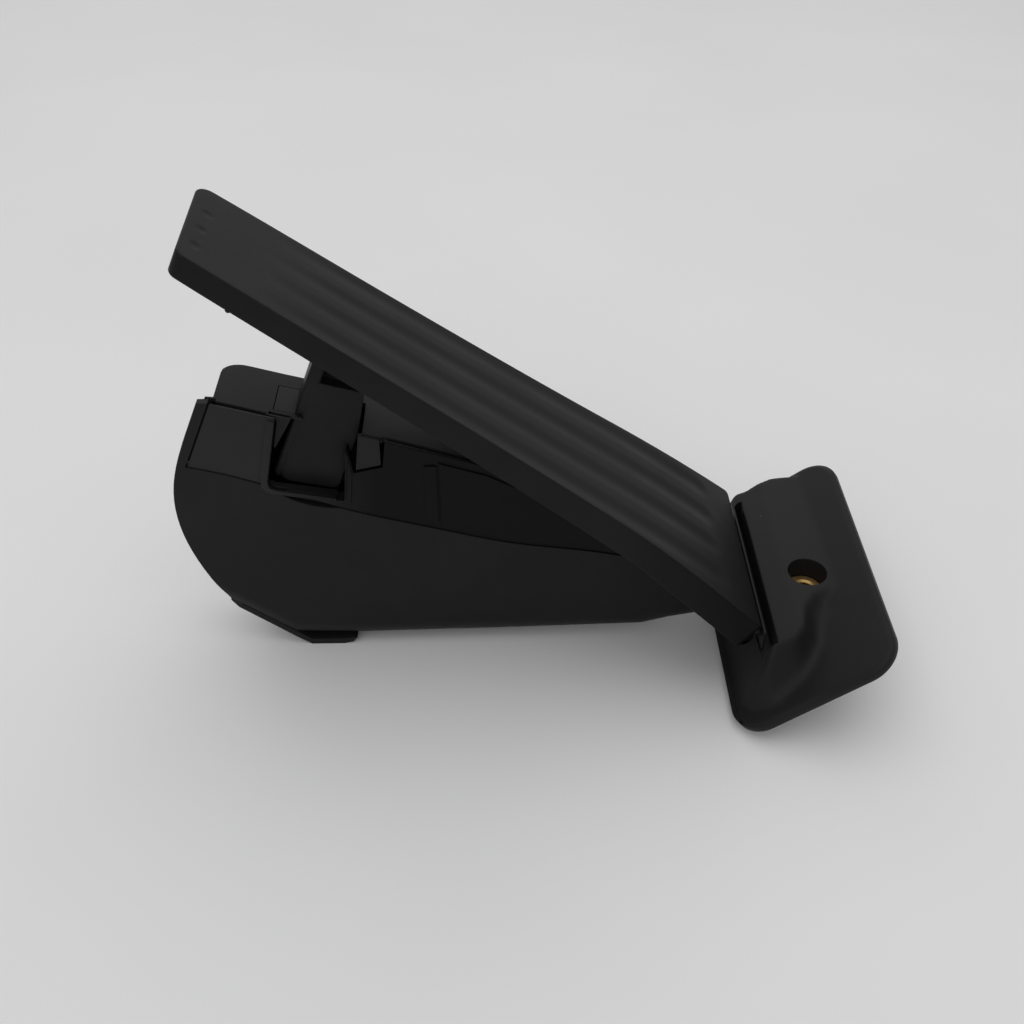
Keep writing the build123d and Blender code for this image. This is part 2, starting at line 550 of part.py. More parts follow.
# Sensor housing: the body that stands in the tub, with the lever's notch in its near wall
with BuildPart() as sensor_housing:
    with BuildSketch(side(HOUSING_Y + SENSOR_HALF)):
        with BuildLine():
            Polyline(*SENSOR_SIDE, close=True)
        make_face()
    extrude(amount=2 * SENSOR_HALF)
    fillet(sensor_housing.edges().filter_by(far_corner), LID_CORNER)
    with BuildSketch(side(HOUSING_Y - SENSOR_HALF + ROOT)):
        with BuildLine():
            foot_line = Spline(*CHEEK_FOOT)
            Polyline(foot_line @ 1, *reversed(BULGE), *reversed(BLOCK_TOP[1:]), CHEEK_CORNER, foot_line @ 0)
        make_face()
    extrude(amount=SENSOR_NEAR - SENSOR_HALF + ROOT)
    with BuildSketch(side(POD_Y - SENSOR_WALL)):
        with BuildLine():
            Polyline(*SENSOR_ROOM, close=True)
        make_face()
    cavity = extrude(amount=2 * (SENSOR_HALF - SENSOR_WALL), mode=Mode.PRIVATE)
    add(cavity.fillet(LID_CORNER - SENSOR_WALL, cavity.edges().filter_by(far_corner)), mode=Mode.SUBTRACT)
    with BuildSketch(side(POD_Y)):
        with BuildLine():
            Polyline(
                (LID_LEFT - SENSOR_WALL, LID_LINE[0][1] - LID_THICK),
                *[(x, z - LID_THICK) for x, z in LID_LINE],
                (LID_RIGHT, 110.0), (LID_LEFT - SENSOR_WALL, 110.0), close=True,
            )
        make_face()
    extrude(amount=SENSOR_HALF + SENSOR_NEAR - LID_RIM, mode=Mode.SUBTRACT)
    with BuildSketch(side(HOUSING_Y)):
        with BuildLine():
            Polyline(*NOTCH, close=True)
        make_face()
    extrude(amount=SENSOR_NEAR + 1, mode=Mode.SUBTRACT)
    with BuildSketch(side(HOUSING_Y - SENSOR_NEAR + ROOT)):
        with BuildLine():
            Polyline(*RIM_LEFT, close=True)
        make_face()
        with BuildLine():
            Polyline(*RIM_RIGHT, close=True)
        make_face()
        with Locations(WALL_RIB_PLACE):
            Rectangle(*WALL_RIB)
        with BuildLine():
            Polyline(*SWELL, close=True)
        make_face()
    extrude(amount=ROOT + RIM_PROUD)
    with BuildSketch(side(NEAR_BUSH_Y[1])):
        with Locations((PIVOT_X, PIVOT_Z)):
            Circle(BUSH_R + SENSOR_WALL)
    extrude(amount=NEAR_BUSH_Y[1] - HOUSING_Y + SENSOR_HALF - SENSOR_WALL + ROOT)
    with BuildSketch(side(POD_Y - SENSOR_WALL + ROOT)):
        with Locations((PIVOT_X, PIVOT_Z)):
            Circle(BUSH_R + SENSOR_WALL)
    extrude(amount=POD_Y - SENSOR_WALL + ROOT - FAR_BOSS_Y)
    with BuildSketch(side(POD_Y)):
        with Locations((PIVOT_X, PIVOT_Z)):
            Circle(BUSH_R)
        with Locations(*SCREW_PLACES):
            Circle(SCREW_R)
    extrude(amount=5.0, mode=Mode.SUBTRACT)
    with BuildSketch(side(NEAR_BUSH_Y[1])):
        with Locations((PIVOT_X, PIVOT_Z)):
            Circle(BUSH_R)
    extrude(amount=NEAR_BUSH_Y[1] - NEAR_BUSH_Y[0], mode=Mode.SUBTRACT)
sensor_housing.part.label = "sensor_housing"
export_step(sensor_housing.part, "parts/sensor_housing.step")

# Top cover: the lid let into the sensor housing, with the lever's slot and a snap tab
with BuildPart() as top_cover:
    with BuildSketch(side(POD_Y)):
        with BuildLine():
            Polyline(*COVER_LINE, *[(x, z - LID_THICK) for x, z in reversed(COVER_LINE)], close=True)
        make_face()
    extrude(amount=SENSOR_HALF + SENSOR_NEAR - LID_RIM - LID_GAP)
    fillet(top_cover.edges().filter_by(far_corner), LID_CORNER)
    with Locations(((SLOT_LEFT + SLOT_RIGHT) / 2, SLOT_FAR_Y, 85.0)):
        Box(
            SLOT_RIGHT - SLOT_LEFT, 30.0, 40.0,
            align=(Align.CENTER, Align.MAX, Align.CENTER), mode=Mode.SUBTRACT,
        )
    with BuildSketch(side(HOUSING_Y - SENSOR_NEAR + SENSOR_WALL)):
        with BuildLine():
            Polyline(*TAB, close=True)
        make_face()
    extrude(amount=SENSOR_WALL - RIM_PROUD)
    with BuildSketch(side(HOUSING_Y - SENSOR_NEAR + SENSOR_WALL)):
        with BuildLine():
            Polyline(*FLAP, close=True)
        make_face()
    extrude(amount=SENSOR_WALL - LID_RIM - LID_GAP)
top_cover.part.label = "top_cover"
export_step(top_cover.part, "parts/top_cover.step")

# Sensor lever: a strut up to the pedal plate, an arm and a hub on the shaft
with BuildPart() as sensor_lever:
    with BuildSketch(side(STRUT_Y[1])):
        with BuildLine():
            Polyline(*STRUT, close=True)
        make_face()
        fillet(vertices().filter_by_position(Axis.Y, 60.0, 70.0), 2.4)
        with Locations((PAD_X, PAD_Z)):
            Circle(PAD_R, mode=Mode.SUBTRACT)
        with BuildLine():
            Polyline(*WING, close=True)
        make_face()
    extrude(amount=STRUT_Y[1] - STRUT_Y[0])
    with BuildSketch(side(ARM_Y[1])):
        with BuildLine():
            Polyline(*ARM, close=True)
        make_face()
    extrude(amount=ARM_Y[1] - ARM_Y[0])
    with BuildSketch(side(HUB_Y[1])):
        with Locations((PIVOT_X, PIVOT_Z)):
            Circle(HUB_R)
    extrude(amount=HUB_Y[1] - HUB_Y[0])
    with Locations((SPRING_X, HOUSING_Y, SADDLE_TOP)):
        Cylinder(SADDLE_POST_R, 8.0, align=(Align.CENTER, Align.CENTER, Align.MIN))
    with BuildSketch(side(HUB_Y[1])):
        with Locations((PIVOT_X, PIVOT_Z)):
            Circle(SHAFT_R)
    extrude(amount=20.0, mode=Mode.SUBTRACT)
sensor_lever.part.label = "sensor_lever"
export_step(sensor_lever.part, "parts/sensor_lever.step")

# Glide pad in the lever's cradle, against the pedal plate's track
with BuildPart() as glide_pad:
    with BuildSketch(side(PAD_Y[1])):
        with Locations((PAD_X, PAD_Z)):
            Circle(PAD_R)
    extrude(amount=PAD_Y[1] - PAD_Y[0])
glide_pad.part.label = "glide_pad"
export_step(glide_pad.part, "parts/glide_pad.step")

# Lever shaft, pressed in the hub
with BuildPart() as lever_shaft:
    with BuildSketch(side(SHAFT_Y[1])):
        with Locations((PIVOT_X, PIVOT_Z)):
            Circle(SHAFT_R)
    extrude(amount=SHAFT_Y[1] - SHAFT_Y[0])
lever_shaft.part.label = "lever_shaft"
export_step(lever_shaft.part, "parts/lever_shaft.step")

# Shaft bushes in the sensor housing's two walls
with BuildPart() as near_shaft_bush:
    with BuildSketch(side(NEAR_BUSH_Y[1])):
        with Locations((PIVOT_X, PIVOT_Z)):
            Circle(BUSH_R)
            Circle(SHAFT_R + SHAFT_FIT, mode=Mode.SUBTRACT)
    extrude(amount=NEAR_BUSH_Y[1] - NEAR_BUSH_Y[0])
near_shaft_bush.part.label = "near_shaft_bush"
export_step(near_shaft_bush.part, "parts/near_shaft_bush.step")

with BuildPart() as far_shaft_bush:
    with BuildSketch(side(POD_Y)):
        with Locations((PIVOT_X, PIVOT_Z)):
            Circle(BUSH_R)
            Circle(SHAFT_R + SHAFT_FIT, mode=Mode.SUBTRACT)
    extrude(amount=POD_Y - FAR_BOSS_Y)
far_shaft_bush.part.label = "far_shaft_bush"
export_step(far_shaft_bush.part, "parts/far_shaft_bush.step")

# Thrust washer between the hub and the far wall's boss
with BuildPart() as thrust_washer:
    with BuildSketch(side(FAR_BOSS_Y)):
        with Locations((PIVOT_X, PIVOT_Z)):
            Circle(BUSH_R + SENSOR_WALL)
            Circle(SHAFT_R + WASHER_FIT, mode=Mode.SUBTRACT)
    extrude(amount=WASHER_THICK)
thrust_washer.part.label = "thrust_washer"
export_step(thrust_washer.part, "parts/thrust_washer.step")

# Rotor magnet on the shaft's far end
with BuildPart() as rotor_magnet:
    with BuildSketch(side(MAGNET_TOP)):
        with Locations((PIVOT_X, PIVOT_Z)):
            Circle(MAGNET_R)
            Circle(SHAFT_R, mode=Mode.SUBTRACT)
    extrude(amount=MAGNET_THICK)
rotor_magnet.part.label = "rotor_magnet"
export_step(rotor_magnet.part, "parts/rotor_magnet.step")

# Spring saddle under the lever's arm
with BuildPart() as spring_saddle:
    with Locations((SPRING_X, HOUSING_Y, SADDLE_TOP)):
        Cylinder(SADDLE_R, SADDLE_THICK, align=(Align.CENTER, Align.CENTER, Align.MAX))
        Cylinder(SADDLE_PEG_R, SADDLE_THICK + SADDLE_PEG, align=(Align.CENTER, Align.CENTER, Align.MAX))
spring_saddle.part.label = "spring_saddle"
export_step(spring_saddle.part, "parts/spring_saddle.step")

# Spring seat on the tub's floor
with BuildPart() as spring_seat:
    with Locations((SPRING_X, HOUSING_Y, SEAT_Z)):
        Cylinder(SEAT_R, SEAT_HIGH, align=(Align.CENTER, Align.CENTER, Align.MIN))
    with Locations((SPRING_X, HOUSING_Y, SPRING_BASE)):
        Cylinder(
            SEAT_R - SEAT_RIM, SEAT_HIGH, align=(Align.CENTER, Align.CENTER, Align.MIN), mode=Mode.SUBTRACT,
        )
    with Locations((SPRING_X, HOUSING_Y, SEAT_Z)):
        Cylinder(SEAT_PEG_R, SEAT_PEG, align=(Align.CENTER, Align.CENTER, Align.MIN), mode=Mode.SUBTRACT)
spring_seat.part.label = "spring_seat"
export_step(spring_seat.part, "parts/spring_seat.step")

# Outer and inner return springs, wound opposite ways
with BuildPart() as outer_return_spring:
    with BuildLine() as outer_path:
        Polyline(*coil(OUTER_COIL, OUTER_TURNS, OUTER_WIRE))
    with BuildSketch(Plane(origin=outer_path.line @ 0, z_dir=outer_path.line % 0)):
        RegularPolygon(OUTER_WIRE, 6)
    sweep(transition=Transition.RIGHT)
outer_return_spring.part.label = "outer_return_spring"
export_step(outer_return_spring.part, "parts/outer_return_spring.step")

with BuildPart() as inner_return_spring:
    with BuildLine() as inner_path:
        Polyline(*[(x, 2 * HOUSING_Y - y, z) for x, y, z in coil(INNER_COIL, INNER_TURNS, INNER_WIRE)])
    with BuildSketch(Plane(origin=inner_path.line @ 0, z_dir=inner_path.line % 0)):
        RegularPolygon(INNER_WIRE, 6)
    sweep(transition=Transition.RIGHT)
inner_return_spring.part.label = "inner_return_spring"
export_step(inner_return_spring.part, "parts/inner_return_spring.step")

# Stop buffer on its post under the strut
with BuildPart() as stop_buffer:
    with Locations((STOP_X, STOP_Y, STOP_BASE)):
        Cylinder(STOP_R, STOP_TOP - STOP_BASE, align=(Align.CENTER, Align.CENTER, Align.MIN))
        Cylinder(
            STOP_SPIGOT_R, STOP_SPIGOT, align=(Align.CENTER, Align.CENTER, Align.MIN), mode=Mode.SUBTRACT,
        )
stop_buffer.part.label = "stop_buffer"
export_step(stop_buffer.part, "parts/stop_buffer.step")

# Seal between the sensor housing and the sensor cover
with BuildPart() as cover_seal:
    with BuildSketch(side(POD_Y + SEAL_THICK)):
        with Locations((PIVOT_X, PIVOT_Z)):
            Circle(SEAL_R)
            Circle(SEAL_R - SEAL_WIDE, mode=Mode.SUBTRACT)
    extrude(amount=SEAL_THICK)
cover_seal.part.label = "cover_seal"
export_step(cover_seal.part, "parts/cover_seal.step")

# Sensor cover with its screw lugs and the connector shroud
with BuildPart() as sensor_cover:
    with BuildSketch(side(POD_Y + FLANGE_TOP)):
        with Locations((PIVOT_X, PIVOT_Z)):
            Circle(FLANGE_R)
        with Locations(*SCREW_PLACES):
            Circle(LUG_R)
    extrude(amount=FLANGE_TOP - SEAL_THICK)
    with BuildSketch(side(POD_Y + POD_DEEP + SEAL_THICK)):
        with Locations((PIVOT_X, PIVOT_Z)):
            Circle(POD_R)
    extrude(amount=POD_DEEP)
    with BuildSketch(side(PLUG_END)):
        with Locations((PIVOT_X, PLUG_Z)):
            RectangleRounded(PLUG_WIDE, PLUG_HIGH, 2.0)
    extrude(amount=PLUG_LONG + 2.0)
    with BuildSketch(side(PLUG_END)):
        with Locations((PIVOT_X, PLUG_Z)):
            RectangleRounded(PLUG_WIDE - 2 * PLUG_WALL, PLUG_HIGH - 2 * PLUG_WALL, 1.0)
    extrude(amount=PLUG_LONG, mode=Mode.SUBTRACT)
    with BuildSketch(side(BOARD_TOP)):
        with Locations((PIVOT_X, PIVOT_Z)):
            Circle(BOARD_R)
    extrude(amount=10.0, mode=Mode.SUBTRACT)
    with BuildSketch(side(PLUG_END - PLUG_LONG - POD_WALL)):
        with Locations((PIVOT_X, PIVOT_Z)):
            Circle(BOARD_R - 1.2)
    extrude(amount=10.0, mode=Mode.SUBTRACT)
    with BuildSketch(side(PLUG_END)):
        with Locations((PIVOT_X, PLUG_Z)):
            with GridLocations(PIN_PITCH, PIN_PITCH, 3, 2):
                Rectangle(PIN_SIZE, PIN_SIZE)
    extrude(amount=PLUG_LONG + 4.0, mode=Mode.SUBTRACT)
    with BuildSketch(side(PLUG_END)):
        with Locations(*SCREW_PLACES):
            Circle(SCREW_R + SCREW_FIT)
    extrude(amount=PLUG_END - POD_Y, mode=Mode.SUBTRACT)
sensor_cover.part.label = "sensor_cover"
export_step(sensor_cover.part, "parts/sensor_cover.step")

# Circuit board facing the magnet
with BuildPart() as circuit_board:
    with BuildSketch(side(BOARD_TOP)):
        with Locations((PIVOT_X, PIVOT_Z)):
            Circle(BOARD_R)
    extrude(amount=BOARD_THICK)
circuit_board.part.label = "circuit_board"
export_step(circuit_board.part, "parts/circuit_board.step")

# Connector terminals, from the board into the shroud
with BuildPart() as connector_terminals:
    with BuildSketch(side(PLUG_END - PIN_SHORT)):
        with Locations((PIVOT_X, PLUG_Z)):
            with GridLocations(PIN_PITCH, PIN_PITCH, 3, 2):
                Rectangle(PIN_SIZE, PIN_SIZE)
    extrude(amount=PLUG_END - PIN_SHORT - BOARD_TOP)
connector_terminals.part.label = "connector_terminals"
export_step(connector_terminals.part, "parts/connector_terminals.step")

# Cover screws
with BuildPart() as cover_screws:
    with BuildSketch(side(POD_Y + FLANGE_TOP + SCREW_HEAD)):
        with Locations(*SCREW_PLACES):
            Circle(SCREW_HEAD_R)
    extrude(amount=SCREW_HEAD)
    with BuildSketch(side(POD_Y + FLANGE_TOP + SCREW_HEAD / 2)):
        with Locations(*SCREW_PLACES):
            Circle(SCREW_R)
    extrude(amount=FLANGE_TOP + SCREW_HEAD / 2 + SENSOR_WALL)
cover_screws.part.label = "cover_screws"
export_step(cover_screws.part, "parts/cover_screws.step")
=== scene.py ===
"""Looks of a floor-mounted accelerator pedal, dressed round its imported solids.

Lengths are in millimetres in the part's own frame, and become metres where a mesh is made.
"""
import json
import math

import bmesh
import bpy
import numpy as np
from mathutils import Matrix, Vector
from mathutils.geometry import delaunay_2d_cdt


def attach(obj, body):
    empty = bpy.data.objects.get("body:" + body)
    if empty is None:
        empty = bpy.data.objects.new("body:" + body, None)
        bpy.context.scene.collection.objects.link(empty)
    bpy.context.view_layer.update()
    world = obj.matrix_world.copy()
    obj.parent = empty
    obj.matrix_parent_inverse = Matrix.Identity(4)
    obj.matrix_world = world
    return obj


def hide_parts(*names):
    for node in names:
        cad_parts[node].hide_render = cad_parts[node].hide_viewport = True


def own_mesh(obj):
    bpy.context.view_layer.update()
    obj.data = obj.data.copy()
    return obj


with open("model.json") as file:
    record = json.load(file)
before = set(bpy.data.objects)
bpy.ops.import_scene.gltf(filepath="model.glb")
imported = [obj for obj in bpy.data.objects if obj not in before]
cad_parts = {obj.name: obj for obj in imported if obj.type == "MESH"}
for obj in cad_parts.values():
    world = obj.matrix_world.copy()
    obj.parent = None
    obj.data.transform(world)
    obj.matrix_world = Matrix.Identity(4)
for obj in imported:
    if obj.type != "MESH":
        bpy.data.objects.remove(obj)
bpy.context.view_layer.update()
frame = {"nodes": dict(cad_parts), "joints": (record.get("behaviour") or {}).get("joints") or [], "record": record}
NODES = frame["nodes"]
JOINTS = {joint["name"]: joint for joint in frame["joints"]}
MM = 0.001

# Pedal plate, in its own (along, across, up) directions from the tip of the tread
HINGE = Vector(JOINTS["pedal_hinge"]["pos_m"]) / MM
SLOPE = math.radians(36.2)
TREAD_LONG = 192.3
HINGE_ALONG = TREAD_LONG + 1.6
HINGE_BELOW = 11.8
TREAD_FLAT = TREAD_LONG - 54.3
TREAD_DROOP = 2.65
TREAD_END_DIP = 5.46
TREAD_SKIN = 2.2
SKIRT_WALL = 2.2
SKIRT_LINE = [(0.0, 6.6), (TREAD_FLAT + 12.0, 9.0), (TREAD_LONG, 12.45)]
HALF_WIDTHS = [(0.0, 18.0), (0.17, 19.4), (0.33, 20.7), (0.51, 22.4),
               (0.70, 24.6), (0.80, 26.5), (0.90, 29.0), (1.0, 31.2)]
TIP_START = -0.3
TIP_SKEW = 0.8
TIP_NEAR_CORNER = 2.6
TIP_FAR_CORNER = 4.4
TIP_EXTRA = 0.5
TIP_EXTRA_STOP = 60.0
TIP_LEAN = 1.0
TIP_LEAN_STOP = 9.0
HINGE_CORNER = 1.8
END_FLARE = 1.7
END_FLARE_RUN = (140.0, 190.0)
TOP_ROUND = 0.55
RIM_ROUND = 0.5
GROOVES = (-1.5, -0.5, 0.5, 1.5)
GROOVE_PITCH = 0.26
GROOVE_REACH = 0.40
GROOVE_DEPTH = 0.45
GROOVE_START = 18.0
GROOVE_FULL = 48.0
GROOVE_STOP = 181.0
GROOVE_SPAN_START = 37.4
GROOVE_SPAN_STOP = 53.8
DIMPLE_ALONG = 4.4
DIMPLE_Y = -2.1
DIMPLE_PITCH = 8.4
DIMPLE_R = 1.9
DIMPLE_DEEP = 0.22
KNUCKLE_HALF = 27.8
KNUCKLE_R = 3.4
KNUCKLE_BORE = 1.85
KNUCKLE_CAP = 0.8
KNUCKLE_MOUTH = 30
KNUCKLE_WEB = [(-8.9, 0.8), (-2.6, 7.4), (0.6, 7.4), (0.9, 2.6), (-2.2, 2.0), (-2.6, -1.2)]
RIB_DEEP = 4.0
RIB_START = 1.8
RIB_STOP = 34.6
RIB_SIDES = (8.2, 9.8)
CROSS_RIB = (33.2, 34.8)
CROSS_RIB_HALF = 18.0
TRACK_ALONG = (36.9, 60.9)
TRACK_ACROSS = (-2.7, 10.1)
TRACK_DEEP = 1.0
RIB_SINK = 0.4
SKIN_STEP = 1.6
SKIN_COLUMNS = 44
SKIN_PITCH_SHARE = 0.065
DIMPLE_CLEAR = 1.3
NUB_ALONG = 18.4
NUB_R = 0.9
NUB_LONG = 0.55

# Hinge strip in the heel's slot
BAR = [(67.5, 13.1), (71.6, 13.1), (71.6, 16.5), (67.5, 16.5)]
BAR_NEAR = -30.0
FIN = [(68.4, 18.8), (69.2, 18.8), (69.2, 26.6), (68.4, 26.6)]
FIN_NEAR = -29.4
FIN_FAR = 31.0
WEB_HALF = 0.45
BEAD_R = 1.5

# Heel plate, tilted about its lower edge, with the shelf that carries the bolt and the hinge
TILT = math.radians(38.0)
HEEL_X = 62.1
HEEL_LONG = 53.8
HEEL_HALF = 49.2
HEEL_THICK = 3.2
HEEL_CORNER = 10.7
HEEL_EDGE = [(1.5, 0.0), (1.2, 0.1), (0.9, 0.35), (0.45, 0.5), (0.15, 0.75), (0.0, 1.2)]
HEEL_FOOT_EDGE = [(0.0, 0.5), (0.15, 0.15), (0.5, 0.0)]
SHELF_Z = 28.5
BAND_X = 71.8
BAND_Z = 26.9
BAND_RISE = 0.23
FLANK_X = 63.3
FLANK_Z = 4.0
FLANK_RISE = 3.3
FACET_PLACE = (71.8, -34.0, 26.6)
FACET_RISE = (-0.22, 1.7)
# Each shoulder line of the shelf is a row of (x, y, how far the hollow beyond it reaches)
NEAR_SHOULDER = [(56.0, -39.5, 9.0), (64.9, -38.6, 10.0), (68.9, -37.6, 10.3), (75.6, -34.3, 10.2),
                 (80.3, -28.5, 9.5), (82.0, -20.8, 9.5), (86.0, -15.0, 7.0), (93.0, -11.8, 3.0),
                 (110.0, -5.0, 2.0)]
FAR_SHOULDER = [(60.0, 36.0, 3.0), (68.8, 36.4, 3.0), (73.9, 37.4, 3.5), (78.5, 40.2, 3.5),
                (83.5, 42.8, 3.5), (94.0, 43.6, 3.0), (110.0, 43.6, 3.0)]
FAR_TAPER = 3.0
FAR_TAPER_RUN = (12.0, 34.0)
SHELF_SOFT = 1.3
COVE_DIP = 1.3
COVE_FADE = (79.0, 84.0)
SLOT_ROUND = 0.75
SLOT_RAISE = 0.15
SLOT_LEFT = 66.9
SLOT_FLOOR = 19.4
SLOT_TOOL_TOP = 40.0
SLOT_NEAR = -33.6
SLOT_FAR = 31.5
BOLT = (86.2, -5.0)
BOLT_R = 6.0
BOLT_ROUND = 0.3
BOLT_RAISE = 0.05
BOLT_TOOL_FOOT = -1.0
BOLT_TOOL_TOP = 60.0
BOSS_R = 9.5
BOSS_TOP = 25.0
BUSH_BORE = 3.3
BUSH_TOP = 21.5
BUSH_PROFILE = [(BUSH_BORE, 0.0), (BOLT_R - 0.05, 0.0), (BOLT_R - 0.05, BUSH_TOP - 0.4),
                (BOLT_R - 0.45, BUSH_TOP), (BUSH_BORE + 0.6, BUSH_TOP), (BUSH_BORE, BUSH_TOP - 0.6)]
NECK = [(58.0, 9.8), (66.0, 11.0), (68.0, 16.6), (66.0, 17.2), (58.0, 18.6)]
NECK_NEAR = -6.6
NECK_FAR = 17.6
NECK_CUT = 61.9

# Edge roundings of the moulded pieces
TUB_EDGE = 0.2
LID_EDGE = 0.2
LEVER_EDGE = 0.3
SENSOR_EDGE = 0.16
RIM_EDGE = 0.2
RIB_EDGE = 0.35
KNUCKLE_EDGE = 0.3
NECK_EDGE = 0.6

# Tools cut the near walls from outside them
OUTSIDE = -9.0

# Left end of the tub, where a narrow strip stands in front of the sensor housing
STRIP_BACK = -3.8
STRIP_CUT_BACK = -3.0
STRIP_RIB_FACE = -5.0
STRIP_WEB_FACE = -4.4
STRIP_TOP = [(-100.0, 95.8), (-86.0, 95.8), (-86.0, 99.0), (-100.0, 99.0)]
STRIP_RIB = [(-90.6, 95.3), (-89.6, 95.3), (-99.3, 74.4), (-100.4, 74.4)]
STRIP_WEB = [(-90.2, 96.0), (-87.2, 95.7), (-87.6, 94.2), (-94.8, 73.9), (-99.6, 74.4)]

# Sensor housing: the rim round the lever's notch and the notch's right side
RIM_CORNER = [(-78.5, 69.4), (-78.3, 66.2), (-77.3, 64.7), (-75.4, 63.8), (-71.5, 63.2),
              (-71.5, 64.5), (-74.5, 65.1), (-75.9, 65.9), (-76.3, 67.0), (-76.3, 69.4)]
RIM_RIGHT = [(-55.4, 60.3), (-53.0, 59.8), (-51.9, 70.4), (-52.7, 77.9), (-53.2, 78.4), (-54.9, 61.0)]
NOTCH_TRIM = [(-57.2, 61.2), (-54.9, 61.0), (-53.1, 79.2), (-55.2, 80.0)]
NOTCH_BACK = -2.6
RIM_FACE = -7.2
RIM_THICK = 1.0

# Lid: the gap along its near edge, its snap tab and the lips of the lever's slot
LID_NEAR = -4.4
LID_TRIM = [[(-90.0, 80.0), (-74.4, 80.0), (-74.4, 100.0), (-90.0, 100.0)],
            [(-42.6, 60.0), (-10.0, 60.0), (-10.0, 90.0), (-42.6, 90.0)]]
TAB_TRIM = [(-54.0, 88.0), (-49.3, 88.0), (-49.3, 83.4), (-50.9, 71.0), (-54.0, 71.0)]
TAB_BACK = -3.9
TAB_BUMPS = [(-47.2, 81.7), (-44.7, 81.0)]
BUMP_R = 0.85
TAB_FACE = -5.2
LIP_NEAR = -3.6
LIP_FAR = 11.2
SLOT_SIDES = (-2.4, 9.9)
SLOT_LIP = [(-74.3, 90.88), (-72.6, 90.38), (-73.6, 88.8)]
SLOT_BACK = [(-74.3, 90.88), (-71.7, 90.12), (-48.1, 83.61), (-48.1, 82.1), (-71.7, 88.6), (-74.3, 89.3)]
SLOT_FRONT = [(-74.3, 90.88), (-71.7, 90.12), (-64.5, 88.13), (-64.5, 87.2), (-71.7, 89.2), (-74.3, 89.95)]

# Lever: the strut's rounded left edge, the wing that fills the lid's slot and the recess under the cradle
WING = [(-72.35, 90.26), (-72.35, 88.9), (-63.0, 86.3), (-63.0, 87.67), (-71.7, 90.07)]
STRUT_RECESS = [(-59.8, 99.0), (-46.3, 95.3), (-44.0, 99.0), (-50.0, 103.2), (-57.6, 104.2)]
RECESS_FRONT = -4.0
RECESS_BACK = 1.4
STRUT_NEAR = -2.15
STRUT_FAR = 9.45
STRUT_ROUND = 1.6
WING_FAR = STRUT_FAR + 0.25
STRUT_EDGE = [(-55.2, 107.25), (-59.0, 108.0), (-66.2, 90.0), (-71.0, 78.5), (-75.4, 67.9),
              (-74.6, 66.2), (-71.5, 67.0), (-66.9, 77.8), (-62.1, 89.3)]

# Return springs under the lever
SPRING_AXIS = (-37.0, 5.5)
SPRING_FOOT = 7.2
SPRING_HEAD = 48.2
# Radius, wire radius, turns and hand of each spring
SPRINGS = {"outer": (6.3, 0.65, 5, 1), "inner": (3.6, 0.5, 7, -1)}


def tread_point(along, across, up):
    """Place in the part's frame of a point given in the tread's own directions."""
    tip_x = HINGE.x - HINGE_ALONG * math.cos(SLOPE) + HINGE_BELOW * math.sin(SLOPE)
    tip_z = HINGE.z + HINGE_ALONG * math.sin(SLOPE) + HINGE_BELOW * math.cos(SLOPE)
    x = tip_x + along * math.cos(SLOPE) + up * math.sin(SLOPE)
    z = tip_z - along * math.sin(SLOPE) + up * math.cos(SLOPE)
    return (x, across, z)


def heel_point(along, across, up):
    """Place in the part's frame of a point given along, across and over the heel plate's lower face."""
    x = HEEL_X + along * math.cos(TILT) - up * math.sin(TILT)
    z = along * math.sin(TILT) + up * math.cos(TILT)
    return (x, across, z)


# Mesh helpers
def make_object(name, points, faces):
    """New mesh object from points in millimetres."""
    mesh = bpy.data.meshes.new(name)
    mesh.from_pydata([Vector(p) * MM for p in points], [], faces)
    obj = bpy.data.objects.new(name, mesh)
    bpy.context.scene.collection.objects.link(obj)
    return obj


def clean(obj, sharp=34.0):
    """Welds an object's mesh, turns its faces outwards and shades it smooth between its sharp edges."""
    shape = bmesh.new()
    shape.from_mesh(obj.data)
    bmesh.ops.remove_doubles(shape, verts=shape.verts, dist=1e-6)
    bmesh.ops.dissolve_degenerate(shape, edges=shape.edges, dist=1e-7)
    bmesh.ops.recalc_face_normals(shape, faces=shape.faces)
    shape.to_mesh(obj.data)
    shape.free()
    obj.data.shade_smooth()
    obj.data.set_sharp_from_angle(angle=math.radians(sharp))
    return obj


def join(name, objects):
    """One object made of several, which are removed."""
    shape = bmesh.new()
    for obj in objects:
        shape.from_mesh(obj.data)
    mesh = bpy.data.meshes.new(name)
    shape.to_mesh(mesh)
    shape.free()
    joined = bpy.data.objects.new(name, mesh)
    bpy.context.scene.collection.objects.link(joined)
    for obj in objects:
        bpy.data.objects.remove(obj)
    return joined


def applied(obj):
    """The same object with its modifiers worked into its mesh."""
    graph = bpy.context.evaluated_depsgraph_get()
    mesh = bpy.data.meshes.new_from_object(obj.evaluated_get(graph))
    obj.modifiers.clear()
    obj.data = mesh
    return obj


def cut(obj, tool, operation="DIFFERENCE"):
    """Works a tool object into another by a boolean, and removes the tool."""
    step = obj.modifiers.new(operation, "BOOLEAN")
    step.object = tool
    step.operation = operation
    step.solver = "EXACT"
    applied(obj)
    bpy.data.objects.remove(tool)
    return obj


def rows_faces(rows):
    """Quads between successive closed rows of the same count, numbered in turn."""
    count = len(rows[0])
    faces = []
    for step in range(len(rows) - 1):
        here, above = step * count, (step + 1) * count
        for k in range(count):
            after = (k + 1) % count
            faces.append((here + k, here + after, above + after, above + k))
    return faces


def inset(loop, distance):
    """A plan loop, run anticlockwise, moved inwards by a distance."""
    moved = []
    for k, here in enumerate(loop):
        before = Vector(loop[k - 1])
        after = Vector(loop[(k + 1) % len(loop)])
        run = (after - before).normalized()
        moved.append((here[0] - run.y * distance, here[1] + run.x * distance))
    return moved


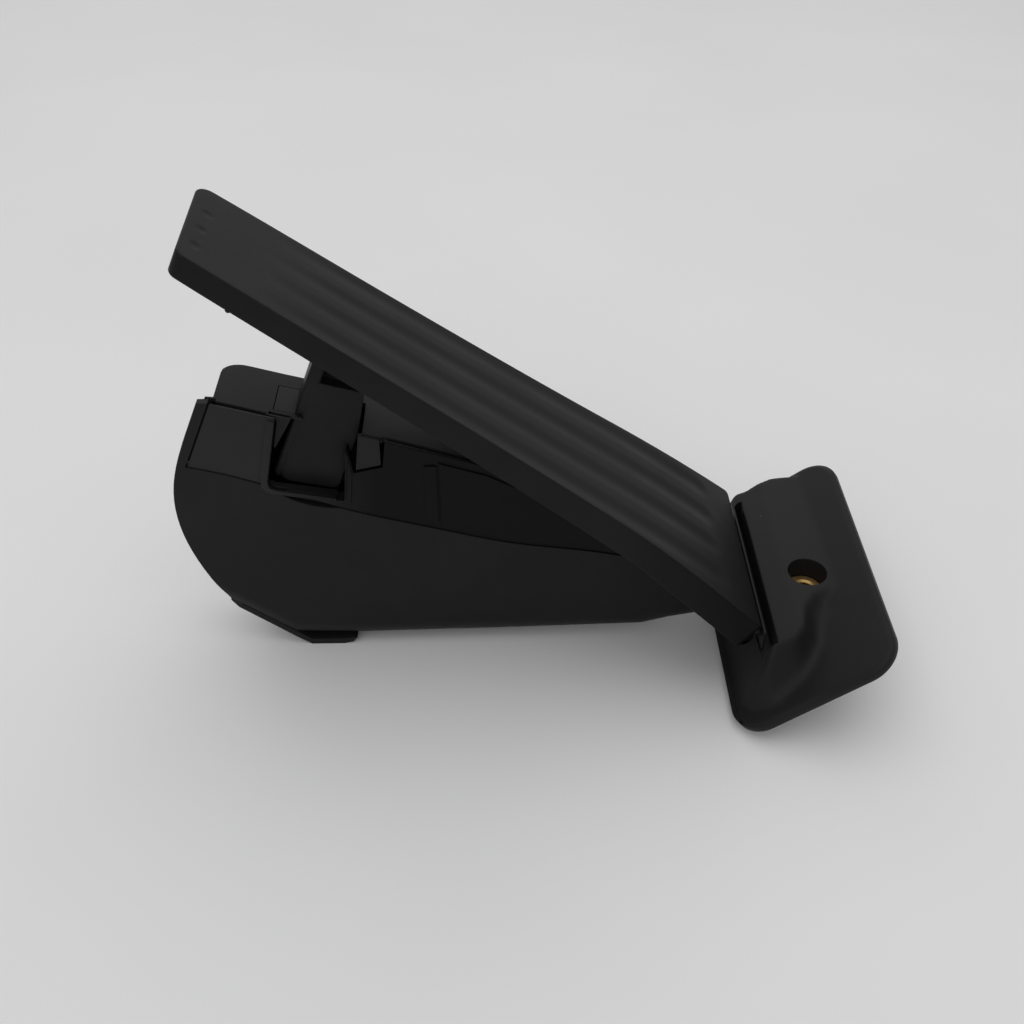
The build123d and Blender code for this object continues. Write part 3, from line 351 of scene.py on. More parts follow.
def edge_gaps(loop, points):
    """Distance of each plan point from a closed loop."""
    start = np.array(loop, float)
    run = np.roll(start, -1, axis=0) - start
    offset = np.array(points, float)[:, None, :] - start[None, :, :]
    share = np.clip((offset * run).sum(2) / (run * run).sum(1), 0, 1)
    return np.linalg.norm(offset - share[:, :, None] * run[None, :, :], axis=2).min(1)


def within(loop, points, margin):
    """Those of the plan points that lie inside a loop by more than a margin."""
    start = np.array(loop, float)
    run = np.roll(start, -1, axis=0) - start
    place = np.array(points, float)
    gap = edge_gaps(loop, points)
    above = start[None, :, 1] > place[:, None, 1]
    crosses = above != np.roll(above, -1, axis=1)
    rise = np.where(run[:, 1] == 0, 1e-12, run[:, 1])
    at_x = start[None, :, 0] + (place[:, None, 1] - start[None, :, 1]) * run[:, 0] / rise
    odd = (crosses & (at_x > place[:, None, 0])).sum(1) % 2 == 1
    return [tuple(p) for p in place[odd & (gap > margin)]]


def cap(loop, inner, lift):
    """Points and triangles that fill a plan loop through inner plan points, lifted into place."""
    plan = [Vector(p) for p in list(loop) + list(inner)]
    edges = [(k, (k + 1) % len(loop)) for k in range(len(loop))]
    flat, _, faces, *_ = delaunay_2d_cdt(plan, edges, [], 1, 1e-7)
    return [lift(p.x, p.y) for p in flat], [tuple(f) for f in faces]


def arc(centre, radius, start, end, steps):
    """Plan points on an arc, angles in degrees, without its last point."""
    angles = [math.radians(start + (end - start) * k / steps) for k in range(steps)]
    return [(centre[0] + radius * math.cos(a), centre[1] + radius * math.sin(a)) for a in angles]


def smooth_step(value, low, high):
    """0 below low, 1 above high and an even curve between."""
    t = min(1.0, max(0.0, (value - low) / (high - low)))
    return t * t * (3 - 2 * t)


def spaced(start, end, step):
    """Values from start up to but not including end, about a step apart."""
    count = max(1, round(abs(end - start) / step))
    return [start + (end - start) * k / count for k in range(count)]


def quarter_round(edge, level, radius):
    """Profile points of a rounded edge that opens outwards as it rises to a level."""
    turns = [math.radians(a) for a in range(0, 91, 15)]
    return [(edge + radius * (1 - math.cos(a)), level - radius * (1 - math.sin(a))) for a in turns]


def turned(profile, centre, steps):
    """Points of a profile of (radius, height) turned about an upright axis, a ring for each."""
    points = []
    for radius, height in profile:
        ring = arc((0, 0), radius, 0, 360, steps)
        points += [(centre[0] + x, centre[1] + y, height) for x, y in ring]
    return points


def lathe(name, profile, centre, steps=64):
    """Closed solid turned about an upright axis from an open profile of (radius, height) points."""
    points = turned(profile, centre, steps)
    rows = [range(steps)] * len(profile)
    faces = rows_faces(rows) + [tuple(range(steps)), tuple(range(len(points) - steps, len(points)))]
    return clean(make_object(name, points, faces))


def prism(name, outline, near, far, place=lambda a, y, b: (a, y, b)):
    """Solid of a plan outline drawn in X and Z, or the tread's along and up, between two Y places."""
    points = [place(a, near, b) for a, b in outline] + [place(a, far, b) for a, b in outline]
    count = len(outline)
    faces = rows_faces([outline, outline]) + [tuple(range(count)), tuple(range(count, 2 * count))]
    return make_object(name, points, faces)


def tube(name, profile, centre, steps=64):
    """Closed ring turned about an upright axis from a closed profile of (radius, height) points."""
    points = turned(profile + profile[:1], centre, steps)
    return clean(make_object(name, points, rows_faces([range(steps)] * (len(profile) + 1))))


def packed_copy(node, name):
    """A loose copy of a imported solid."""
    obj = bpy.data.objects.new(name, NODES[node].data.copy())
    bpy.context.scene.collection.objects.link(obj)
    return clean(obj)


def soften(obj, width, segments=2):
    """Rounds a simple solid's edges in its own mesh."""
    step = obj.modifiers.new("round", "BEVEL")
    step.width = width * MM
    step.segments = segments
    step.limit_method = "ANGLE"
    return applied(obj)


def dress(obj, width):
    """Rounds a solid's edges and evens its shading with modifiers alone."""
    weld = obj.modifiers.new("weld", "WELD")
    weld.merge_threshold = 1e-6
    bevel = obj.modifiers.new("edges", "BEVEL")
    bevel.width = width * MM
    bevel.segments = 3
    bevel.limit_method = "ANGLE"
    bevel.angle_limit = math.radians(32)
    bevel.use_clamp_overlap = False
    shade = obj.modifiers.new("shade", "WEIGHTED_NORMAL")
    shade.keep_sharp = False


# Pedal plate
WIDTH_FIT = np.polyfit(
    [share * TREAD_LONG for share, half in HALF_WIDTHS], [half for share, half in HALF_WIDTHS], 4)


def half_width(along):
    """Half the tread's width, a smooth curve through the measured widths."""
    return float(np.polyval(WIDTH_FIT, along))


def near_side(along):
    """The tread's near edge, which flares a little at the hinge."""
    return -half_width(along) - END_FLARE * smooth_step(along, *END_FLARE_RUN)


def far_side(along):
    """The tread's far edge, a little wider at the tip."""
    return half_width(along) + TIP_EXTRA * (1 - smooth_step(along, 0.0, TIP_EXTRA_STOP))


def droop(along):
    """How far the tread's middle line has bent down at this distance from the tip."""
    t = max(0.0, (along - TREAD_FLAT) / (TREAD_LONG - TREAD_FLAT))
    return TREAD_DROOP * (3 * t ** 2 - 2 * t ** 3) + TREAD_END_DIP * (t ** 3 - t ** 2)


def skirt_foot(along):
    """Height of the skirt's lower edge."""
    return -float(np.interp(along, *zip(*SKIRT_LINE)))


def groove_width(along):
    """Tread width that the grooves spread over at this distance from the tip."""
    growth = GROOVE_SPAN_STOP - GROOVE_SPAN_START
    return GROOVE_SPAN_START + growth * (along - GROOVE_START) / (GROOVE_STOP - GROOVE_START)


def tread_height(along, across):
    """Height of the tread's upper face, with its grooves and dimples."""
    height = -droop(along)
    pitch = GROOVE_PITCH * groove_width(along)
    reach = GROOVE_REACH * pitch
    past = max(0.0, along - (GROOVE_STOP - reach))
    strength = GROOVE_DEPTH * smooth_step(along, GROOVE_START, GROOVE_FULL)
    for place in GROOVES:
        away = math.hypot(across - place * pitch, past) / reach
        if away < 1:
            height -= strength * math.cos(away * math.pi / 2) ** 2
    for step in (-1, 0, 1):
        away = math.hypot(along - DIMPLE_ALONG, across - DIMPLE_Y - step * DIMPLE_PITCH) / DIMPLE_R
        if away < 1:
            height -= DIMPLE_DEEP * (1 - away ** 2) ** 1.5
    return height


def tread_outline():
    """Plan outline of the tread, anticlockwise from the near corner of its tip."""
    end = TREAD_LONG - HINGE_CORNER
    near_tip, far_tip = TIP_START + TIP_SKEW + TIP_NEAR_CORNER, TIP_START + TIP_FAR_CORNER
    near_tip_y, far_tip_y = near_side(near_tip) + TIP_NEAR_CORNER, far_side(far_tip) - TIP_FAR_CORNER
    near_end_y, far_end_y = near_side(end) + HINGE_CORNER, far_side(end) - HINGE_CORNER
    outline = [(a, near_side(a)) for a in spaced(near_tip, end, 2.0)]
    outline += arc((end, near_end_y), HINGE_CORNER, -90, 0, 8)
    outline += [(TREAD_LONG, y) for y in spaced(near_end_y, far_end_y, 2.0)]
    outline += arc((end, far_end_y), HINGE_CORNER, 0, 90, 8)
    outline += [(a, far_side(a)) for a in spaced(end, far_tip, 2.0)]
    outline += arc((far_tip, far_tip_y), TIP_FAR_CORNER, 90, 180, 10)
    outline += [(TIP_START + TIP_SKEW * (far_tip_y - y) / (far_tip_y - near_tip_y), y)
                for y in spaced(far_tip_y, near_tip_y, 2.0)]
    outline += arc((near_tip, near_tip_y), TIP_NEAR_CORNER, 180, 270, 10)
    return outline


def skin_points():
    """Plan points of the tread's skin: columns that follow the grooves, and rings in the dimples."""
    grid = []
    for along in spaced(1.0, TREAD_LONG - 1, SKIN_STEP):
        pitch = GROOVE_PITCH * groove_width(along)
        columns = range(-SKIN_COLUMNS, SKIN_COLUMNS + 1)
        grid += [(along, SKIN_PITCH_SHARE * k * pitch) for k in columns]
    dimples = []
    for step in (-1, 0, 1):
        middle = (DIMPLE_ALONG, DIMPLE_Y + step * DIMPLE_PITCH)
        for ring in range(1, 8):
            dimples += arc(middle, DIMPLE_R * ring / 6, 7 * ring, 360 + 7 * ring, 20)
    clear = [(a, y) for a, y in grid if all(
        math.hypot(a - DIMPLE_ALONG, y - DIMPLE_Y - step * DIMPLE_PITCH) > DIMPLE_CLEAR * DIMPLE_R
        for step in (-1, 0, 1))]
    return clear + dimples


def tread_shell():
    """The tread's upper skin and skirt as one closed wall."""
    outline = tread_outline()
    sections = []
    for k in range(7):
        turn = math.radians(15 * k)
        sections.append((TOP_ROUND * (1 - math.sin(turn)), "top", -TOP_ROUND * (1 - math.cos(turn))))
    for k in range(4):
        turn = math.radians(30 * k)
        sections.append((RIM_ROUND * (1 - math.cos(turn)), "foot", RIM_ROUND * (1 - math.sin(turn))))
    for k in range(4):
        turn = math.radians(30 * k)
        sections.append((
            SKIRT_WALL - RIM_ROUND * (1 - math.sin(turn)), "foot", RIM_ROUND * (1 - math.cos(turn))))
    sections.append((SKIRT_WALL, "top", -TREAD_SKIN))
    points, rows = [], []
    for distance, level, rise in sections:
        loop = inset(outline, distance)
        if level == "top":
            points += [tread_point(a, y, rise - droop(a)) for a, y in loop]
        else:
            points += [tread_point(a + TIP_LEAN * (1 - smooth_step(a, 0.0, TIP_LEAN_STOP)), y,
                                   skirt_foot(a) + rise) for a, y in loop]
        rows.append(loop)
    wall = make_object("tread_wall", points, rows_faces(rows))
    inner = within(rows[0], skin_points(), 0.5)
    skin = make_object(
        "tread_skin", *cap(rows[0], inner, lambda a, y: tread_point(a, y, tread_height(a, y))))
    coarse = [(a, y) for a in spaced(6, TREAD_LONG - 4, 5.0) for y in spaced(-28, 29, 6.0)]
    ceiling = within(rows[-1], coarse, 1.0)
    under = make_object(
        "tread_under", *cap(rows[-1], ceiling, lambda a, y: tread_point(a, y, -droop(a) - TREAD_SKIN)))
    return clean(join("tread_shell", [wall, skin, under]), 40)


def tread_box(name, along, across, deep):
    """Rounded rib or block under the tread, sunk a little into it."""
    low, high = -TREAD_SKIN - deep, -TREAD_SKIN + RIB_SINK
    outline = [(along[0], low), (along[1], low), (along[1], high), (along[0], high)]
    return soften(clean(prism(name, outline, *across, tread_point)), RIB_EDGE)


def knuckle():
    """The curl under the tread's end that turns on the hinge bead, and the web that carries it."""
    centre = (HINGE_ALONG, -HINGE_BELOW)
    tilt = math.degrees(SLOPE)
    open_from, open_to = KNUCKLE_MOUTH, 360 - KNUCKLE_MOUTH
    outline = arc(centre, KNUCKLE_R, open_from + tilt, open_to + tilt, 40)
    outline += arc(centre, KNUCKLE_BORE, open_to - 2 + tilt, open_from + 2 + tilt, 28)
    web = [(HINGE_ALONG + a, up - HINGE_BELOW) for a, up in KNUCKLE_WEB]
    disc = arc(centre, KNUCKLE_R, 0, 360, 40)
    solids = [
        prism("curl", outline, -KNUCKLE_HALF, KNUCKLE_HALF, tread_point),
        prism("web", web, -KNUCKLE_HALF, KNUCKLE_HALF, tread_point),
        prism("curl_end", disc, -KNUCKLE_HALF, KNUCKLE_CAP - KNUCKLE_HALF, tread_point),
        prism("curl_end", disc, KNUCKLE_HALF - KNUCKLE_CAP, KNUCKLE_HALF, tread_point),
    ]
    return [soften(clean(solid), KNUCKLE_EDGE) for solid in solids]


def build_pedal():
    """Pedal plate: grooved tread, skirt, ribs, the lever's track and the hinge knuckle."""
    inner, outer = RIB_SIDES
    parts = [tread_shell()] + knuckle()
    parts.append(tread_box("rib_near", (RIB_START, RIB_STOP), (-outer, -inner), RIB_DEEP))
    parts.append(tread_box("rib_far", (RIB_START, RIB_STOP), (inner, outer), RIB_DEEP))
    parts.append(tread_box("rib_across", CROSS_RIB, (-CROSS_RIB_HALF, CROSS_RIB_HALF), RIB_DEEP))
    parts.append(tread_box("track", TRACK_ALONG, TRACK_ACROSS, TRACK_DEEP))
    profile = [(0.05, -NUB_LONG), (0.7 * NUB_R, 0.1 - NUB_LONG), (NUB_R, 0.0), (0.05, 1.0)]
    nub = lathe("nub", profile, (0, 0), 16)
    place = Vector(tread_point(NUB_ALONG, near_side(NUB_ALONG) + 1.0, skirt_foot(NUB_ALONG)))
    nub.data.transform(Matrix.Translation(place * MM))
    parts.append(nub)
    return join("pedal_tread", parts)


# Heel plate and tub
def plate_top(x):
    """Height of the heel plate's upper face."""
    return (x - HEEL_X) * math.tan(TILT) + HEEL_THICK / math.cos(TILT)


def beyond(line, x, y, outward):
    """Distance past a shoulder line, the nearest point on it and its reach there; 0 on the inner side."""
    best = (math.inf, 0.0, 0.0, 0.0, 0.0)
    for (x0, y0, r0), (x1, y1, r1) in zip(line, line[1:]):
        run = Vector((x1 - x0, y1 - y0))
        share = min(1.0, max(0.0, ((x - x0) * run.x + (y - y0) * run.y) / run.length_squared))
        near_x, near_y = x0 + share * run.x, y0 + share * run.y
        gap = math.hypot(x - near_x, y - near_y)
        if gap < best[0]:
            side = (run.x * (y - y0) - run.y * (x - x0)) * outward
            best = (gap, near_x, near_y, r0 + share * (r1 - r0), side)
    gap, near_x, near_y, reach, side = best
    return (gap if side > 0 else 0.0), near_x, near_y, reach


def shelf_top(x, y):
    """Height of the shelf itself: level, with a band that dips to the slot, a flank and the near facet."""
    band = BAND_Z + BAND_RISE * (x - BAND_X)
    flank = FLANK_Z + FLANK_RISE * (x - FLANK_X)
    facet_x, facet_y, facet_z = FACET_PLACE
    facet = facet_z + FACET_RISE[0] * (x - facet_x) + FACET_RISE[1] * (y - facet_y)
    return min(SHELF_Z, band, flank, facet)


def heel_height(x, y):
    """Height of the heel's upper side: the plate, or the shelf and the hollows beyond its shoulders."""
    floor = plate_top(x)
    gap, near_x, near_y, reach = beyond(NEAR_SHOULDER, x, y, -1)
    if gap == 0.0:
        gap, near_x, near_y, reach = beyond(FAR_SHOULDER, x, y, 1)
    if gap == 0.0:
        return max(floor, shelf_top(x, y))
    rise = max(0.0, shelf_top(near_x, near_y) - plate_top(near_x))
    share = min(1.0, gap / reach)
    dip = 0.0
    if near_y < 0:
        dip = COVE_DIP * math.sin(math.pi * share) ** 2 * (1 - smooth_step(near_x, *COVE_FADE))
    return floor + rise * (1 - share) ** 2 - dip


def soft_heel_height(x, y):
    """The same, with its edges rounded by averaging over a small disc."""
    total = 2 * heel_height(x, y)
    for ring in (0.5, 1.0):
        for k in range(8):
            turn = math.pi * (k + ring) / 4
            total += heel_height(x + ring * SHELF_SOFT * math.cos(turn),
                                 y + ring * SHELF_SOFT * math.sin(turn))
    return total / 18


def heel_outline():
    """Plan outline of the heel plate, anticlockwise, in its own along and across."""
    r, far = HEEL_CORNER, HEEL_HALF - HEEL_CORNER
    outline = [(a, -HEEL_HALF) for a in spaced(r, HEEL_LONG - r, 1.5)]
    outline += arc((HEEL_LONG - r, -far), r, -90, 0, 18)
    outline += [(HEEL_LONG, y) for y in spaced(-far, far - FAR_TAPER, 1.5)]
    outline += arc((HEEL_LONG - r, far - FAR_TAPER), r, 0, 90, 18)
    outline += [(a, HEEL_HALF - FAR_TAPER * smooth_step(a, *FAR_TAPER_RUN))
                for a in spaced(HEEL_LONG - r, r, 1.5)]
    outline += arc((r, far), r, 90, 180, 18)
    outline += [(0.0, y) for y in spaced(far, -far, 1.5)]
    outline += arc((r, -far), r, 180, 270, 18)
    return outline


def heel_plate():
    """Closed solid of the heel plate and its shelf."""
    outline = heel_outline()
    sections = [(distance, HEEL_THICK - drop) for distance, drop in HEEL_EDGE] + HEEL_FOOT_EDGE
    rows = [inset(outline, distance) for distance, up in sections]
    points = [heel_point(a, y, up) for row, (_, up) in zip(rows, sections) for a, y in row]
    count = len(outline)
    foot = tuple(range(len(points) - count, len(points)))
    rim = make_object("heel_rim", points, rows_faces(rows) + [foot])

    def lift(along, across):
        x, y, z = heel_point(along, across, HEEL_THICK)
        edge = edge_gaps(rows[0], [(along, across)])[0]
        rise = max(0.0, soft_heel_height(x, y) - plate_top(x)) * smooth_step(edge, 0.0, 2.0)
        return (x, y, z + rise)

    across_places = spaced(-HEEL_HALF + 1.6, HEEL_HALF - 1, 0.8)
    grid = [(a, y) for a in spaced(1.6, HEEL_LONG - 1, 0.8) for y in across_places]
    top = make_object("heel_top", *cap(rows[0], within(rows[0], grid, 0.4), lift))
    return clean(join("heel_plate", [rim, top]), 30)


def heel_slot():
    """Tool for the slot that holds the hinge strip, with a rounded lip on its right."""
    outline = [(SLOT_LEFT, SLOT_FLOOR), (BAND_X, SLOT_FLOOR)]
    outline += quarter_round(BAND_X, BAND_Z + SLOT_RAISE, SLOT_ROUND)
    outline += [(BAND_X + SLOT_ROUND, SLOT_TOOL_TOP), (SLOT_LEFT, SLOT_TOOL_TOP)]
    return clean(prism("slot_tool", outline, SLOT_NEAR, SLOT_FAR))


def bolt_tool():
    """Tool for the bolt's hole, flared at its mouth."""
    mouth = quarter_round(BOLT_R, SHELF_Z + BOLT_RAISE, BOLT_ROUND)
    profile = [(BOLT_R, BOLT_TOOL_FOOT)] + mouth + [(BOLT_R + BOLT_ROUND, BOLT_TOOL_TOP)]
    return lathe("bolt_tool", profile, BOLT)


def tub_copy():
    """The tub's own solid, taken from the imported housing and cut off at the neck."""
    shape = bmesh.new()
    shape.from_mesh(NODES["base_housing"].data)
    bmesh.ops.remove_doubles(shape, verts=shape.verts, dist=1e-6)
    every = list(shape.verts) + list(shape.edges) + list(shape.faces)
    made = bmesh.ops.bisect_plane(
        shape, geom=every, plane_co=(NECK_CUT * MM, 0, 0), plane_no=(1, 0, 0), clear_outer=True)
    edges = [e for e in made["geom_cut"] if isinstance(e, bmesh.types.BMEdge)]
    bmesh.ops.holes_fill(shape, edges=edges)
    mesh = bpy.data.meshes.new("tub")
    shape.to_mesh(mesh)
    shape.free()
    tub = bpy.data.objects.new("tub", mesh)
    bpy.context.scene.collection.objects.link(tub)
    return tub


def build_base():
    """Base moulding: tub, neck, heel plate, shelf and bolt boss."""
    heel = heel_plate()
    boss = lathe("boss", [(BOSS_R - 0.4, 0.0), (BOSS_R, 0.4), (BOSS_R, BOSS_TOP)], BOLT)
    cut(heel, boss, "UNION")
    cut(heel, heel_slot())
    cut(heel, bolt_tool())
    clean(heel, 30)
    neck = soften(clean(prism("neck", NECK, NECK_NEAR, NECK_FAR)), NECK_EDGE)
    tub = cut(tub_copy(), clean(prism("strip_top", STRIP_TOP, OUTSIDE, STRIP_CUT_BACK)))
    dress(tub, TUB_EDGE)
    applied(tub)
    rib = clean(prism("strip_rib", STRIP_RIB, STRIP_RIB_FACE, STRIP_BACK))
    web = clean(prism("strip_web", STRIP_WEB, STRIP_WEB_FACE, STRIP_BACK))
    return join("base_moulding", [heel, neck, tub, rib, web])


def build_lid():
    """Lid with the open gap along its near edge, its snap tab and the lips of the lever's slot."""
    lid = packed_copy("top_cover", "lid")
    for outline in LID_TRIM:
        cut(lid, clean(prism("lid_trim", outline, OUTSIDE, LID_NEAR)))
    cut(lid, clean(prism("tab_trim", TAB_TRIM, OUTSIDE, TAB_BACK)))
    dress(clean(lid), LID_EDGE)
    parts = [
        applied(lid),
        clean(prism("lip", SLOT_LIP, LIP_NEAR, LIP_FAR)),
        clean(prism("back", SLOT_BACK, SLOT_SIDES[1], LIP_FAR)),
        clean(prism("front", SLOT_FRONT, LIP_NEAR, SLOT_SIDES[0])),
    ]
    for middle in TAB_BUMPS:
        bump = prism("bump", arc(middle, BUMP_R, 0, 360, 20), TAB_FACE - 0.5, TAB_FACE + 0.3)
        parts.append(soften(clean(bump), 0.3))
    return join("lid_moulding", parts)


def build_lever():
    """Lever with the rounded left edge of its strut, its wing and the recess under its cradle."""
    lever = packed_copy("sensor_lever", "lever")
    cut(lever, clean(prism("strut_recess", STRUT_RECESS, RECESS_FRONT, RECESS_BACK)))
    dress(clean(lever), LEVER_EDGE)
    edge = soften(clean(prism("strut_edge", STRUT_EDGE, STRUT_NEAR, STRUT_FAR)), STRUT_ROUND, 5)
    wing = clean(prism("wing", WING, STRUT_NEAR, WING_FAR))
    return clean(join("lever_moulding", [applied(lever), edge, wing]), 40)


def build_sensor_housing():
    """Sensor housing with the rim that runs round the lever's notch."""
    housing = packed_copy("sensor_housing", "housing")
    cut(housing, clean(prism("notch_trim", NOTCH_TRIM, OUTSIDE, NOTCH_BACK)))
    dress(clean(housing), SENSOR_EDGE)
    rims = [soften(clean(prism("rim", outline, RIM_FACE, RIM_FACE + RIM_THICK)), RIM_EDGE)
            for outline in (RIM_CORNER, RIM_RIGHT)]
    return join("sensor_moulding", [applied(housing)] + rims)


def build_hinge_strip():
    """Strip in the heel's slot: a bar, the thin raised fin and the web and bead that the knuckle turns on."""
    web = [(HINGE.x, HINGE.z - WEB_HALF), (FIN[0][0] + 0.2, HINGE.z - WEB_HALF),
           (FIN[0][0] + 0.2, HINGE.z + WEB_HALF), (HINGE.x, HINGE.z + WEB_HALF)]
    inner = KNUCKLE_HALF - 1.0
    parts = [
        soften(clean(prism("bar", BAR, BAR_NEAR, SLOT_FAR - 0.1)), 0.2),
        soften(clean(prism("fin", FIN, FIN_NEAR, FIN_FAR)), 0.25, 3),
        clean(prism("web", web, -inner, inner)),
        clean(prism("bead", arc((HINGE.x, HINGE.z), BEAD_R, 0, 360, 32), -inner, inner)),
    ]
    return join("hinge_fin", parts)


# Springs
def build_spring(name, radius, wire, turns, hand):
    """Coil spring with flat closed ends, as a tube round a helix."""
    steps, sides = 28, 12
    total = (turns + 2) * steps
    points = []
    for k in range(total + 1):
        turn = 2 * math.pi * k / steps
        climb = min(max(k - steps, 0), turns * steps) / (turns * steps)
        ends = wire * 1.9 * (min(k, steps) + max(0, k - (turns + 1) * steps)) / steps
        height = SPRING_FOOT + wire + ends + climb * (SPRING_HEAD - SPRING_FOOT - 2 * wire - 3.8 * wire)
        out = Vector((math.cos(turn), hand * math.sin(turn), 0))
        centre = Vector((*SPRING_AXIS, height)) + out * radius
        for side in range(sides):
            spin = 2 * math.pi * side / sides
            points.append(centre + wire * (out * math.cos(spin) + Vector((0, 0, math.sin(spin)))))
    rows = [range(sides)] * (total + 1)
    faces = rows_faces(rows) + [tuple(range(sides)), tuple(range(len(points) - sides, len(points)))]
    return clean(make_object(name, points, faces), 60)


# Materials
def add_node(tree, kind, inputs=None, **settings):
    """New shader node with its settings, and its inputs set to values or linked to sockets."""
    made = tree.nodes.new("ShaderNode" + kind)
    for key, value in settings.items():
        setattr(made, key, value)
    for key, value in (inputs or {}).items():
        if isinstance(value, bpy.types.NodeSocket):
            tree.links.new(value, made.inputs[key])
        else:
            made.inputs[key].default_value = value
    return made


def start_material(name):
    """New material with its tree, shader and the part's own coordinates."""
    material = bpy.data.materials.new(name)
    material.use_nodes = True
    tree = material.node_tree
    shader = tree.nodes["Principled BSDF"]
    place = add_node(tree, "TexCoord").outputs["Object"]
    return material, tree, shader, place


def noise(tree, place, size, detail=2.0, rough=0.5):
    """Noise whose features are about a size in millimetres."""
    made = add_node(
        tree, "TexNoise", {"Vector": place, "Scale": 1 / (size * MM), "Detail": detail, "Roughness": rough})
    return made.outputs["Fac"]


def spread(tree, value, low, high, to_low, to_high):
    """A value mapped from one range to another."""
    made = add_node(tree, "MapRange", {
        "Value": value, "From Min": low, "From Max": high, "To Min": to_low, "To Max": to_high})
    return made.outputs["Result"]


def mixed(tree, share, first, second):
    """Two colours mixed by a share."""
    made = add_node(tree, "Mix", {"Factor": share}, data_type="RGBA")
    for socket, value in ((made.inputs[6], first), (made.inputs[7], second)):
        if isinstance(value, bpy.types.NodeSocket):
            tree.links.new(value, socket)
        else:
            socket.default_value = (*value, 1.0)
    return made.outputs[2]


def bumped(tree, height, distance, strength, below=None):
    """Bump of a height in millimetres."""
    inputs = {"Height": height, "Distance": distance * MM, "Strength": strength}
    if below is not None:
        inputs["Normal"] = below
    return add_node(tree, "Bump", inputs).outputs["Normal"]


def specks(tree, place, cell, size, share):
    """Scattered dots: 1 on a dot, 0 elsewhere, in a share of the cells."""
    cells = add_node(tree, "TexVoronoi", {"Vector": place, "Scale": 1 / (cell * MM)})
    dot = spread(tree, cells.outputs["Distance"], size / cell * 0.6, size / cell, 1.0, 0.0)
    chosen = add_node(tree, "SeparateColor", {"Color": cells.outputs["Color"]}).outputs[0]
    few = add_node(tree, "Math", {0: chosen, 1: 1 - share}, operation="GREATER_THAN").outputs[0]
    return add_node(tree, "Math", {0: dot, 1: few}, operation="MULTIPLY").outputs[0]


def plastic(name, colour, roughness, grain=0.45, relief=0.02, dust=0.06, gloss=0.13, painted_light_fade=None):
    """Moulded plastic: fine grain, cloudy sheen, faint rub marks and dust, and, where asked, tone painted darker
    or lighter along X as painted shade and painted light.
    """
    material, tree, shader, place = start_material(name)
    clouds = noise(tree, place, 26.0, 4.0, 0.6)
    fine = noise(tree, place, grain, 2.0)
    stretch = add_node(
        tree, "Mapping", {"Vector": place, "Scale": (0.12, 1.0, 0.6), "Rotation": (0.3, 0.5, 0.2)})
    rubs = noise(tree, stretch.outputs["Vector"], 1.6, 5.0, 0.7)
    rub_marks = spread(tree, rubs, 0.62, 0.74, 0.0, 1.0)
    paler = [min(1.0, 1.5 * c + 0.004) for c in colour]
    tone = mixed(tree, spread(tree, clouds, 0.3, 0.7, 0.0, 0.45), colour, paler)
    rubbed = add_node(tree, "Math", {0: rub_marks, 1: 0.25}, operation="MULTIPLY").outputs[0]
    tone = mixed(tree, rubbed, tone, paler)
    dots = specks(tree, place, 5.5, 0.16, dust)
    tone = mixed(tree, dots, tone, (0.22, 0.215, 0.20))
    # Painted light and shade: the tone is scaled along X, darker for a factor below 1 and lighter above 1, to
    # stand in for light that falls unevenly across the piece.
    if painted_light_fade:
        start, end, painted_light_factor = painted_light_fade
        along = add_node(tree, "SeparateXYZ", {"Vector": place}).outputs["X"]
        share = spread(tree, along, start * MM, end * MM, 0.0, 1.0)
        tone = mixed(tree, share, tone, [painted_light_factor * c for c in colour])
    tree.links.new(tone, shader.inputs["Base Color"])
    sheen = spread(tree, clouds, 0.25, 0.75, roughness - 0.05, roughness + 0.07)
    flecks = spread(tree, fine, 0.3, 0.7, -0.03, 0.03)
    sheen = add_node(tree, "Math", {0: sheen, 1: flecks}, operation="ADD").outputs[0]
    tree.links.new(sheen, shader.inputs["Roughness"])
    normal = bumped(tree, clouds, 0.05, 0.12)
    normal = bumped(tree, fine, relief, 0.5, normal)
    tree.links.new(normal, shader.inputs["Normal"])
    shader.inputs["Specular IOR Level"].default_value = gloss
    return material


def metal(name, colour, roughness, streak):
    """Turned or drawn metal: fine streaks and slight tarnish."""
    material, tree, shader, place = start_material(name)
    lines = add_node(tree, "Mapping", {"Vector": place, "Scale": streak})
    grain = noise(tree, lines.outputs["Vector"], 0.5, 3.0)
    stain = noise(tree, place, 3.0, 4.0, 0.6)
    darker = [0.55 * c for c in colour]
    tone = mixed(tree, spread(tree, stain, 0.35, 0.75, 0.0, 0.7), colour, darker)
    tree.links.new(tone, shader.inputs["Base Color"])
    sheen = spread(tree, grain, 0.3, 0.7, roughness - 0.08, roughness + 0.1)
    tree.links.new(sheen, shader.inputs["Roughness"])
    tree.links.new(bumped(tree, grain, 0.02, 0.35), shader.inputs["Normal"])
    shader.inputs["Metallic"].default_value = 1.0
    return material


def board_material(name, colour):
    """Solder mask with the faint lines of its copper underneath."""
    material, tree, shader, place = start_material(name)
    lines = add_node(tree, "TexWave", {"Vector": place, "Scale": 1 / (1.6 * MM), "Distortion": 6.0})
    paler = [1.6 * c for c in colour]
    tree.links.new(mixed(tree, spread(tree, lines.outputs["Fac"], 0.6, 0.7, 0.0, 0.6), colour, paler),
                   shader.inputs["Base Color"])
    tree.links.new(spread(tree, noise(tree, place, 4.0), 0.3, 0.7, 0.28, 0.4), shader.inputs["Roughness"])
    return material


